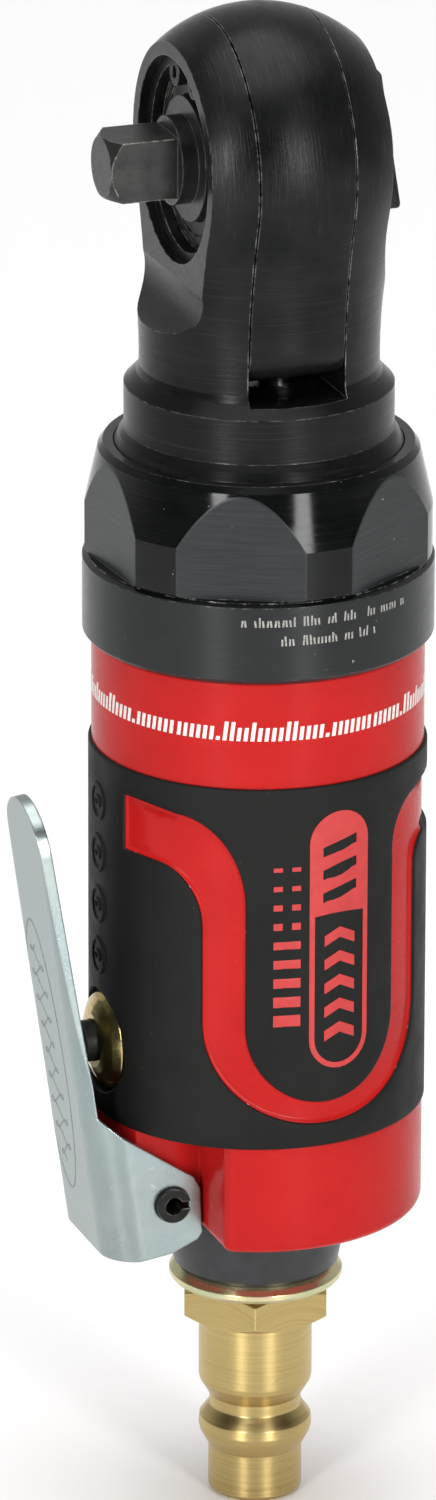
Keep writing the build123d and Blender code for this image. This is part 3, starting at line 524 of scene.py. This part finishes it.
def offsets(path, closed):
    """Unit steps to the left of a path at each point, lengthened at corners to keep an even border."""
    count = len(path)
    steps = []
    for i in range(count):
        before = path[i - 1] if i > 0 or closed else None
        after = path[(i + 1) % count] if i < count - 1 or closed else None
        sides = []
        for a, b in ((before, path[i]), (path[i], after)):
            if a is not None and b is not None:
                run = Vector((b[0] - a[0], b[1] - a[1])).normalized()
                sides.append(Vector((-run.y, run.x)))
        middle = sum(sides, Vector((0, 0))).normalized()
        steps.append(middle / max(0.35, middle.dot(sides[0])))
    return steps


def shifted(path, steps, distance):
    return [(x + s.x * distance, y + s.y * distance) for (x, y), s in zip(path, steps)]


def inside(point, outline):
    """Whether a flat point lies inside a closed outline."""
    x, y = point
    found = False
    for i in range(len(outline)):
        (x1, y1), (x2, y2) = outline[i - 1], outline[i]
        if (y1 > y) != (y2 > y) and x < x1 + (y - y1) * (x2 - x1) / (y2 - y1):
            found = not found
    return found


def nearest(point, outline):
    """Distance from a flat point to the corners of an outline."""
    return min((point[0] - a) ** 2 + (point[1] - b) ** 2 for a, b in outline) ** 0.5


BORDER_CLEAR = 0.55              # inner points stay this share of the spacing from the border


def fill(outline, spacing, holes=()):
    """Triangulates a closed outline with evenly spread points inside it: flat points and triangles."""
    points = []
    edges = []
    for loop in (outline, *holes):
        start = len(points)
        points += loop
        edges += [(start + i, start + (i + 1) % len(loop)) for i in range(len(loop))]
    border = list(points)
    xs = [p[0] for p in outline]
    ys = [p[1] for p in outline]
    columns = int((max(xs) - min(xs)) / spacing) + 1
    rows = int((max(ys) - min(ys)) / spacing) + 1
    for i in range(1, columns):
        for j in range(1, rows):
            spot = (min(xs) + i * spacing, min(ys) + j * spacing + (i % 2) * spacing / 2)
            if not inside(spot, outline) or any(inside(spot, hole) for hole in holes):
                continue
            if nearest(spot, border) > BORDER_CLEAR * spacing:
                points.append(spot)
    flat, _, faces, *_ = delaunay_2d_cdt([Vector(p) for p in points], edges, [], 0, 1e-9)
    kept = []
    for face in faces:
        middle = (sum(flat[i].x for i in face) / len(face), sum(flat[i].y for i in face) / len(face))
        if inside(middle, outline) and not any(inside(middle, hole) for hole in holes):
            kept.append(list(face))
    return [(v.x, v.y) for v in flat], kept


class Wrap:
    """Flat pieces laid on cylinders about the body axis; flat x is an arc at the grip's radius."""

    def __init__(self):
        self.points = []
        self.faces = []

    def lay(self, flat, radius):
        start = len(self.points)
        self.points += [on_cylinder(x / GRIP_R, y, radius) for x, y in flat]
        return start

    def sheet(self, outline, radius, spacing, holes=()):
        flat, faces = fill(outline, spacing, holes)
        start = self.lay(flat, radius)
        self.faces += [[start + i for i in face] for face in faces]

    def strip(self, first, first_radius, second, second_radius, closed):
        """A band of quads between two flat paths with as many points."""
        a = self.lay(first, first_radius)
        b = self.lay(second, second_radius)
        count = len(first)
        for i in range(count if closed else count - 1):
            j = (i + 1) % count
            self.faces.append([a + i, a + j, b + j, b + i])

    def mirrored(self):
        """Adds the same again on the other side of the XZ plane."""
        start = len(self.points)
        self.points += [(x, -y, z) for x, y, z in self.points]
        self.faces += [[start + i for i in face] for face in self.faces]

    def plate(self, outline, low, high, spacing, holes=()):
        """A thin solid from one radius to another, with upright walls."""
        self.sheet(outline, low, spacing, holes)
        self.sheet(outline, high, spacing, holes)
        for loop in (outline, *holes):
            self.strip(loop, low, loop, high, True)


def grip_angle(degrees):
    """Flat x of a plan angle."""
    return math.radians(degrees) * GRIP_R


GRID = 0.9 * MM                  # spacing of the points on surfaces that show
HIDDEN_GRID = 1.8 * MM
PRINT_GRID = 0.8 * MM
STROKE_GRID = 2.0 * MM           # wider than any stroke, so that a stroke has only its corners


def window_path():
    """Edge of the window in the sleeve on the printed side, from the +X end of the band and back to it.

    The band runs round the back, flares down into a U around the badge and ends in a short flare
    beside the lever. The rubber is on the left of the path.
    """
    band_low, band_high = 75.9 * MM, 81.5 * MM
    u_centre = grip_angle(274.5)
    inner_left, inner_right = grip_angle(246.3), grip_angle(302.8)
    outer_left, outer_right = grip_angle(231.2), grip_angle(317.7)
    end = grip_angle(198.2)
    path = [(grip_angle(360), band_low)]
    path += arc((grip_angle(327.5), 73.4 * MM), grip_angle(327.5) - outer_right, 2.5 * MM, 90, 180, 8)
    path += arc((u_centre, 59.0 * MM), (outer_right - outer_left) / 2, 11.1 * MM, 0, -180, 48)
    corner = grip_angle(213)
    path += arc((corner, 69.5 * MM), outer_left - corner, 6.6 * MM, 0, 90, 12)
    path += [(end, 76.2 * MM), (end, 82.2 * MM)]
    shoulder = grip_angle(222)
    path += arc((shoulder, 72.0 * MM), inner_left - shoulder, 9.7 * MM, 90, 0, 18)
    path += arc((u_centre, 58.9 * MM), (inner_right - inner_left) / 2, 8.65 * MM, 180, 360, 40)
    corner = grip_angle(318)
    path += arc((corner, 76.5 * MM), corner - inner_right, 5.0 * MM, 180, 90, 12)
    path += [(grip_angle(360), band_high)]
    return path


def valve_hole_path():
    """Half of the round hole for the valve bushing, from its top to its bottom, at plan angle 180."""
    hole_r = 5.6 * MM
    rim = arc((0, VALVE_Z), hole_r, hole_r, 90, -90, 18)
    return [(GRIP_R * (math.pi + math.asin(x / GRIP_R)), z) for x, z in rim]


SLEEVE_ROUND = 0.22 * MM         # rounding of the rubber's rims
ROUND_STEPS = 4
INNER_R = UNDER_GRIP_R + 0.02 * MM
LIP_DROP = 0.24 * MM             # the painted band starts this far below the rubber
LIP_GAP = 0.01 * MM
LIP_WIDTH = 0.45 * MM
LIP_STEPS = 5
BAND_DROP = 0.54 * MM
RIM_STEPS = 60


def seam_steps(path):
    """Offsets of an open path whose ends slide along the seam lines."""
    steps = offsets(path, False)
    for i in (0, -1):
        steps[i] = Vector((0, math.copysign(1, steps[i].y)))
    return steps


def grip_sleeve(material):
    """Rubber sleeve with the window, the valve hole and rounded rims."""
    left, right = grip_angle(180), grip_angle(360)
    floor = [(left + (right - left) * i / RIM_STEPS, GRIP_LOW.z) for i in range(RIM_STEPS + 1)]
    roof = [(x, GRIP_HIGH.z) for x, _ in reversed(floor)]
    rims = [(path, seam_steps(path)) for path in (floor, window_path(), roof, valve_hole_path())]
    levels = []
    for i in range(ROUND_STEPS + 1):
        turn = math.radians(90 * i / ROUND_STEPS)
        levels.append((SLEEVE_ROUND * (1 - math.sin(turn)),
                       GRIP_R - SLEEVE_ROUND * (1 - math.cos(turn))))
    wrap = Wrap()
    top = [point for path, steps in rims for point in shifted(path, steps, SLEEVE_ROUND)]
    wrap.sheet(top, GRIP_R, GRID)
    for path, steps in rims:
        for (d1, r1), (d2, r2) in zip(levels, levels[1:]):
            wrap.strip(shifted(path, steps, d1), r1, shifted(path, steps, d2), r2, False)
        wrap.strip(path, levels[-1][1], path, INNER_R, False)
    wrap.sheet([point for path, _ in rims for point in path], INNER_R, HIDDEN_GRID)
    wrap.mirrored()
    piece = new_piece("rubber_grip", wrap.points, wrap.faces, material)
    soften(piece, 40)
    return piece


def painted_band(material):
    """Red band of the housing that shows through the window: a sunk floor with a hollow lip."""
    path = window_path()
    steps = seam_steps(path)
    levels = []
    for i in range(LIP_STEPS + 1):
        share = i / LIP_STEPS
        drop = LIP_DROP + (BAND_DROP - LIP_DROP) * (1 - (1 - share) ** 2)
        levels.append((-LIP_GAP - LIP_WIDTH * share, GRIP_R - drop))
    wrap = Wrap()
    wrap.sheet(list(reversed(shifted(path, steps, levels[-1][0]))), levels[-1][1], GRID)
    for (d1, r1), (d2, r2) in zip(levels, levels[1:]):
        wrap.strip(shifted(path, steps, d1), r1, shifted(path, steps, d2), r2, False)
    rim = shifted(path, steps, levels[0][0])
    wrap.strip(rim, levels[0][1], rim, INNER_R, False)
    wrap.sheet(list(reversed(rim)), INNER_R, HIDDEN_GRID)
    wrap.mirrored()
    piece = new_piece("painted_band", wrap.points, wrap.faces, material)
    soften(piece, 50)
    return piece


def oval(centre, half_width, half_height, steps=28):
    """Closed elliptical path."""
    return arc(centre, half_width, half_height, 0, 360 - 360 / steps, steps - 1)


OVAL_COUNT = 4
OVAL_LOW_Z = 62.7                # millimetres, as are the step and the profile
OVAL_STEP = 5.7
OVAL_PROFILE = ((-0.30, -0.05), (-0.22, 0.10), (0.0, 0.17), (0.22, 0.10), (0.30, -0.05))
OVAL_UNDERSIDE = (OVAL_PROFILE[0], OVAL_PROFILE[-1])


def grip_ovals(material):
    """Column of raised ovals with a small ring in each, moulded in the rubber above the valve."""
    wrap = Wrap()
    for k in range(OVAL_COUNT):
        centre = (grip_angle(180.5), (OVAL_LOW_Z + OVAL_STEP * k) * MM)
        for path in (oval(centre, 1.65 * MM, 1.85 * MM), oval(centre, 0.65 * MM, 0.50 * MM, 16)):
            steps = offsets(path, True)
            for (d1, h1), (d2, h2) in (*zip(OVAL_PROFILE, OVAL_PROFILE[1:]), OVAL_UNDERSIDE):
                wrap.strip(shifted(path, steps, d1 * MM), GRIP_R + h1 * MM,
                           shifted(path, steps, d2 * MM), GRIP_R + h2 * MM, True)
    return new_piece("grip_ovals", wrap.points, wrap.faces, material)


# ---------------------------------------------------------------- printed marks, all generic
PRINT = 0.05 * MM                # half the thickness of a print
BADGE_TURN = 279                 # plan angle of the badge's middle
BADGE_HALF = 3.42 * MM
BADGE_LINE = 0.58 * MM
BADGE_LOW_Z, BADGE_SPLIT_Z, BADGE_HIGH_Z = 53.9 * MM, 70.9 * MM, 82.2 * MM
GAUGE_TURN = 260.2
GAUGE_COUNT = 9


def pill(centre_x, low, high, half_width):
    """Closed upright outline with round ends."""
    return (arc((centre_x, high - half_width), half_width, half_width, 0, 180, 16)
            + arc((centre_x, low + half_width), half_width, half_width, 180, 360, 16))


def slanted_bar(centre, width, height, slant):
    x, y = centre
    return [(x - width / 2, y - height / 2 - slant), (x + width / 2, y - height / 2 + slant),
            (x + width / 2, y + height / 2 + slant), (x - width / 2, y + height / 2 - slant)]


def chevron(centre, half_width, rise, thick):
    x, y = centre
    return [(x - half_width, y), (x, y + rise), (x + half_width, y),
            (x + half_width, y + thick), (x, y + rise + thick), (x - half_width, y + thick)][::-1]


def badge(material):
    """Upright pill: solid red head with slanted gaps, and an outline round a row of chevrons."""
    middle = grip_angle(BADGE_TURN)
    inner = BADGE_HALF - BADGE_LINE
    hollow = [(middle + inner, BADGE_SPLIT_Z), (middle - inner, BADGE_SPLIT_Z)]
    hollow += arc((middle, BADGE_LOW_Z + BADGE_HALF), inner, inner, 180, 360, 16)
    gaps = [slanted_bar((middle, (73.4 + 2.5 * k) * MM), 3.9 * MM, 1.05 * MM, 0.55 * MM)
            for k in range(3)]
    outline = pill(middle, BADGE_LOW_Z, BADGE_HIGH_Z, BADGE_HALF)
    wrap = Wrap()
    wrap.plate(outline, GRIP_R - PRINT, GRIP_R + PRINT, PRINT_GRID, [hollow, *gaps])
    for k in range(5):
        mark = chevron((middle, (57.0 + 2.62 * k) * MM), 1.75 * MM, 0.85 * MM, 1.15 * MM)
        wrap.plate(mark, GRIP_R - PRINT, GRIP_R + PRINT, PRINT_GRID)
    return new_piece("badge", wrap.points, wrap.faces, material, smooth=False)


def gauge_bars(material):
    """Column of bars beside the badge that thicken downwards."""
    wrap = Wrap()
    x = grip_angle(GAUGE_TURN)
    for k in range(GAUGE_COUNT):
        thick = (1.25 - 0.10 * k) * MM
        bar = slanted_bar((x, (59.7 + 2.08 * k) * MM), 2.85 * MM, thick, 0.0)
        wrap.plate(bar, GRIP_R - PRINT, GRIP_R + PRINT, PRINT_GRID)
    return new_piece("gauge_bars", wrap.points, wrap.faces, material, smooth=False)


def stroke(x, low, height, width, lean):
    """Leaning upright stroke; lean is how far its top stands to the right."""
    return [(x - width / 2, low), (x + width / 2, low),
            (x + width / 2 + lean, low + height), (x - width / 2 + lean, low + height)]


RHYTHM = "lllllldhhllhllllhhlllldlllllll"     # low, high and dot strokes of one group
RHYTHM_HEIGHTS = {"l": 1.45 * MM, "h": 2.05 * MM, "d": 0.42 * MM}
RING_GROUPS = 5
RING_FIRST_TURN = 222.0
RING_STEP = 2.38                 # degrees from one stroke to the next
RING_PRINT_Z = 90.35 * MM
RING_LEAN = 0.125                # share of a stroke's height


def ring_print(material):
    """Five groups of leaning silver strokes round the red ring."""
    wrap = Wrap()
    for group in range(RING_GROUPS):
        for k, kind in enumerate(RHYTHM):
            x = grip_angle(RING_FIRST_TURN + 360 / RING_GROUPS * group + RING_STEP * k)
            height = RHYTHM_HEIGHTS[kind]
            wrap.plate(stroke(x, RING_PRINT_Z, height, 0.42 * MM, RING_LEAN * height),
                       RING_R - PRINT / 2, RING_R + PRINT / 2, STROKE_GRID)
    return new_piece("ring_print", wrap.points, wrap.faces, material, smooth=False)


NUT_LINES = ((103.0, 244.8, 305.8), (100.95, 257.8, 291.6))    # foot in millimetres, first and last turn
NUT_MARK_STEP = 1.25             # degrees from one stroke to the next
NUT_MARK_GAP = 2.0
NUT_GAP_SHARE = 0.14


def nut_marks(material):
    """Two etched lines of fine strokes on the nut's lower band."""
    rng = random.Random(4)
    wrap = Wrap()
    for low, first, last in NUT_LINES:
        degrees = first
        while degrees < last:
            if rng.random() < NUT_GAP_SHARE:
                degrees += NUT_MARK_GAP
                continue
            height = rng.choice((0.72, 0.72, 1.05)) * MM
            lean = rng.choice((-0.08, 0.0, 0.08)) * MM
            wrap.plate(stroke(grip_angle(degrees), low * MM, height, 0.19 * MM, lean),
                       NUT_R - PRINT / 2, NUT_R + PRINT / 4, STROKE_GRID)
            degrees += NUT_MARK_STEP
    return new_piece("nut_marks", wrap.points, wrap.faces, material, smooth=False)


# ---------------------------------------------------------------- lever engraving
LEVER_LEAN = math.radians(8.3)
LEVER_FOOT = Vector((-20.2 * MM, 0, 38.7 * MM))
LEVER_UP = Vector((-math.sin(LEVER_LEAN), 0, math.cos(LEVER_LEAN)))
LEVER_OUT = Vector((-math.cos(LEVER_LEAN), 0, -math.sin(LEVER_LEAN)))
LEVER_BEND_R = 3.9 * MM
LEVER_FLAT = LEVER_HALF - LEVER_BEND_R         # half width of the flat between the bends
ENGRAVING_CENTRE = (2.2 * MM, 12.8 * MM)       # across the plate and up it from the foot
ENGRAVING_FLOOR, ENGRAVING_TOP = -0.02 * MM, 0.015 * MM
WAVE_POINTS = 150
WAVE_TURNS = 8.5


def on_lever(across, along, lift):
    """Point on the lever's outer face, which falls away round the bends at its sides."""
    over = max(0.0, abs(across) - LEVER_FLAT)
    lift -= LEVER_BEND_R - math.sqrt(LEVER_BEND_R ** 2 - over ** 2)
    return LEVER_FOOT + Vector((0, across, 0)) + LEVER_UP * along + LEVER_OUT * lift


def lever_engraving(material):
    """Long oval and a wavy line inside it on the lever's outer face."""
    points = []
    faces = []
    ring = oval(ENGRAVING_CENTRE, 4.4 * MM, 15.4 * MM, 72)
    wave = []
    for i in range(WAVE_POINTS):
        share = i / (WAVE_POINTS - 1)
        turn = 2 * math.pi * WAVE_TURNS * share
        swell = 0.55 + 0.45 * math.sin(math.pi * share) + 0.25 * math.sin(9 * share)
        across = ENGRAVING_CENTRE[0] + 2.1 * MM * swell * math.sin(turn)
        along = ENGRAVING_CENTRE[1] + (share - 0.5) * 25 * MM + 0.6 * MM * math.sin(2 * turn)
        wave.append((across, along))
    for path, closed, width in ((ring, True, 0.26 * MM), (wave, False, 0.20 * MM)):
        steps = offsets(path, closed)
        sides = [shifted(path, steps, d) for d in (-width / 2, width / 2)]
        rows = []
        for side in sides:
            for lift in (ENGRAVING_FLOOR, ENGRAVING_TOP):
                rows.append(len(points))
                points += [on_lever(y, s, lift) for y, s in side]
        count = len(path)
        for a, b in ((0, 1), (1, 3), (3, 2), (2, 0)):
            for i in range(count if closed else count - 1):
                j = (i + 1) % count
                faces.append([rows[a] + i, rows[a] + j, rows[b] + j, rows[b] + i])
        if not closed:
            for i in (0, count - 1):
                faces.append([rows[0] + i, rows[1] + i, rows[3] + i, rows[2] + i])
    return new_piece("lever_engraving", points, faces, material, smooth=False)


# ---------------------------------------------------------------- the object
rubber = grip_rubber()
red = red_gloss()
sleeve = seat(grip_sleeve(rubber), "housing")
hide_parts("grip_sleeve")
seat(painted_band(red), "housing")
seat(grip_ovals(rubber), "housing")
ink = red_print()
seat(badge(ink), "housing")
seat(gauge_bars(ink), "housing")
seat(ring_print(silver_print()), "housing")
seat(nut_marks(etched_grey()), "housing")
seat(lever_engraving(engraved_grey()), "lever")

head = black_oxide_head()
small = black_oxide_small("black_oxide_small")
gears = machined("gear_steel", (0.26, 0.26, 0.27), (0.44, 0.44, 0.45))
bright = machined("ground_steel", (0.48, 0.48, 0.49), (0.68, 0.68, 0.69), (0.14, 0.26))
cross = machined("pawl_steel", (0.30, 0.30, 0.31), (0.50, 0.50, 0.50), axis="x")
wire = wire_steel()
seal = seal_rubber()
vanes = laminate()
FINISHES = {
    "ratchet_head": head,
    "yoke": head,
    "anvil": square_steel(),
    "circlip": small,
    "thrust_washer": small,
    "reverse_knob": small,
    "clamp_nut": nut_black(),
    "motor_housing": red,
    "grip_sleeve": rubber,
    "lever": zinc_lever(),
    "lever_pin": black_oxide_small("black_oxide_pin", "z"),
    "valve_bushing": turned_brass("bushing_brass", 0.14),
    "valve_stem": black_oxide_small("black_oxide_stem", "z"),
    "air_plug": turned_brass(),
    "sealing_washer": passivated_washer(),
    "exhaust_deflector": anodised_black(),
    "inlet_bushing": black_oxide_small("black_oxide_inlet", "z"),
    "exhaust_muffler": sintered(),
    "pawl": cross,
    "pawl_pin": bright,
    "detent_plunger": bright,
    "detent_spring": wire,
    "square_ball": bright,
    "square_spring": wire,
    "valve_spring": wire,
    "valve_seat": seal,
    "stem_seal": seal,
    "inlet_screen": wire,
}
GEARS = ("crankshaft", "ring_gear", "rotor", "cylinder", "rear_plate", "front_plate")
for name, node in nodes.items():
    if name in FINISHES:
        finish = FINISHES[name]
    elif name.startswith("vane_"):
        finish = vanes
    elif name in GEARS or name.startswith("planet_gear"):
        finish = gears
    else:
        finish = bright                 # pins, bearings, washers and rollers
    node.data.materials.clear()
    node.data.materials.append(finish)


# ---------------------------------------------------------------- floor, light and camera
FLOOR_REACH = 12.0
ROOM_LIGHT = 0.06                # world strength on the camera's side and above
WALL_LIGHT = 0.55                # and behind the object
ROOM_END, WALL_START = -0.1, 0.6       # distance away from the camera on the unit sky between them
STRIP_SIDES = (("left_strip", -27), ("right_strip", 30))       # degrees from the camera
STRIP_ELEVATION = 13
STRIP_DISTANCE = 0.9
STRIP_WIDTH, STRIP_HEIGHT = 0.16, 0.5
STRIP_POWER = 4.0
OVERHEAD = 2.75
OVERHEAD_SPREAD = math.radians(60)
CAMERA_AZIMUTH = -20.0
CAMERA_ELEVATION = 19.8
CAMERA_DISTANCE = 1.164
CAMERA_TARGET = (0, 0, 83.2 * MM)
CAMERA_LENS = 268.5
CAMERA_SENSOR = 36.0
CAMERA_REACH = 60.0
CAMERA_ROLL = math.radians(0.235)
CAMERA_SHIFT_X = -0.0264


def aim(thing, place, target, roll=0.0):
    """Puts a light or camera at a place, looking at the target."""
    thing.location = place
    turn = (Vector(target) - Vector(place)).to_track_quat("-Z", "Y").to_matrix()
    thing.rotation_euler = turn.to_euler()
    if roll:
        thing.rotation_euler.rotate_axis("Z", roll)


def around(azimuth, elevation, distance, target=(0, 0, 0)):
    """Place at an azimuth and elevation in degrees; azimuth 0 looks along +Y."""
    a, e = math.radians(azimuth), math.radians(elevation)
    away = Vector((math.sin(a) * math.cos(e), -math.cos(a) * math.cos(e), math.sin(e)))
    return Vector(target) + distance * away


def pale_floor():
    mesh = bpy.data.meshes.new("floor")
    corners = [(x * FLOOR_REACH, y * FLOOR_REACH, 0) for x, y in ((-1, -1), (1, -1), (1, 1), (-1, 1))]
    mesh.from_pydata(corners, [], [(0, 1, 2, 3)])
    floor = bpy.data.objects.new("floor", mesh)
    bpy.context.scene.collection.objects.link(floor)
    p = Paint("pale_floor")
    base = p.blend(p.noise(p.place, 3.0, 2.0), (0.86, 0.86, 0.86), (0.88, 0.88, 0.88))
    mesh.materials.append(p.finish(Base_Color=base, Roughness=0.45))


def strip_light(name, azimuth, target):
    """Tall soft box, low on the camera's side."""
    light = bpy.data.lights.new(name, "AREA")
    light.shape = "RECTANGLE"
    light.size = STRIP_WIDTH
    light.size_y = STRIP_HEIGHT
    light.energy = STRIP_POWER
    box = bpy.data.objects.new(name, light)
    bpy.context.scene.collection.objects.link(box)
    aim(box, around(azimuth, STRIP_ELEVATION, STRIP_DISTANCE, target), target)


def surroundings():
    """World light: a dim room on the camera's side and above, a pale wall behind the object."""
    world = bpy.data.worlds.new("studio")
    bpy.context.scene.world = world
    world.use_nodes = True
    tree = world.node_tree
    place = tree.nodes.new("ShaderNodeTexCoord")
    dot = tree.nodes.new("ShaderNodeVectorMath")
    dot.operation = "DOT_PRODUCT"
    away = math.radians(CAMERA_AZIMUTH)
    dot.inputs[1].default_value = (-math.sin(away), math.cos(away), 0.0)
    tree.links.new(place.outputs["Generated"], dot.inputs[0])
    ramp = tree.nodes.new("ShaderNodeMapRange")
    tree.links.new(dot.outputs["Value"], ramp.inputs["Value"])
    ramp.inputs["From Min"].default_value = ROOM_END
    ramp.inputs["From Max"].default_value = WALL_START
    ramp.inputs["To Min"].default_value = ROOM_LIGHT
    ramp.inputs["To Max"].default_value = WALL_LIGHT
    back = tree.nodes["Background"]
    back.inputs["Color"].default_value = (1, 1, 1, 1)
    tree.links.new(ramp.outputs["Result"], back.inputs["Strength"])


def studio():
    """World light, a strip light on each side of the camera and a broad overhead light."""
    surroundings()
    for name, turn in STRIP_SIDES:
        strip_light(name, CAMERA_AZIMUTH + turn, (0, 0, OBJECT_HEIGHT / 2))
    sky = bpy.data.lights.new("overhead", "SUN")
    sky.energy = OVERHEAD
    sky.angle = OVERHEAD_SPREAD
    lamp = bpy.data.objects.new("overhead", sky)
    bpy.context.scene.collection.objects.link(lamp)
    bpy.context.scene.view_settings.view_transform = "Standard"


def camera():
    data = bpy.data.cameras.new("camera")
    data.sensor_width = CAMERA_SENSOR
    data.lens = CAMERA_LENS
    data.shift_x = CAMERA_SHIFT_X
    data.clip_end = CAMERA_REACH
    eye = bpy.data.objects.new("camera", data)
    bpy.context.scene.collection.objects.link(eye)
    place = around(CAMERA_AZIMUTH, CAMERA_ELEVATION, CAMERA_DISTANCE, CAMERA_TARGET)
    aim(eye, place, CAMERA_TARGET, CAMERA_ROLL)
    bpy.context.scene.camera = eye


pale_floor()
studio()
camera()
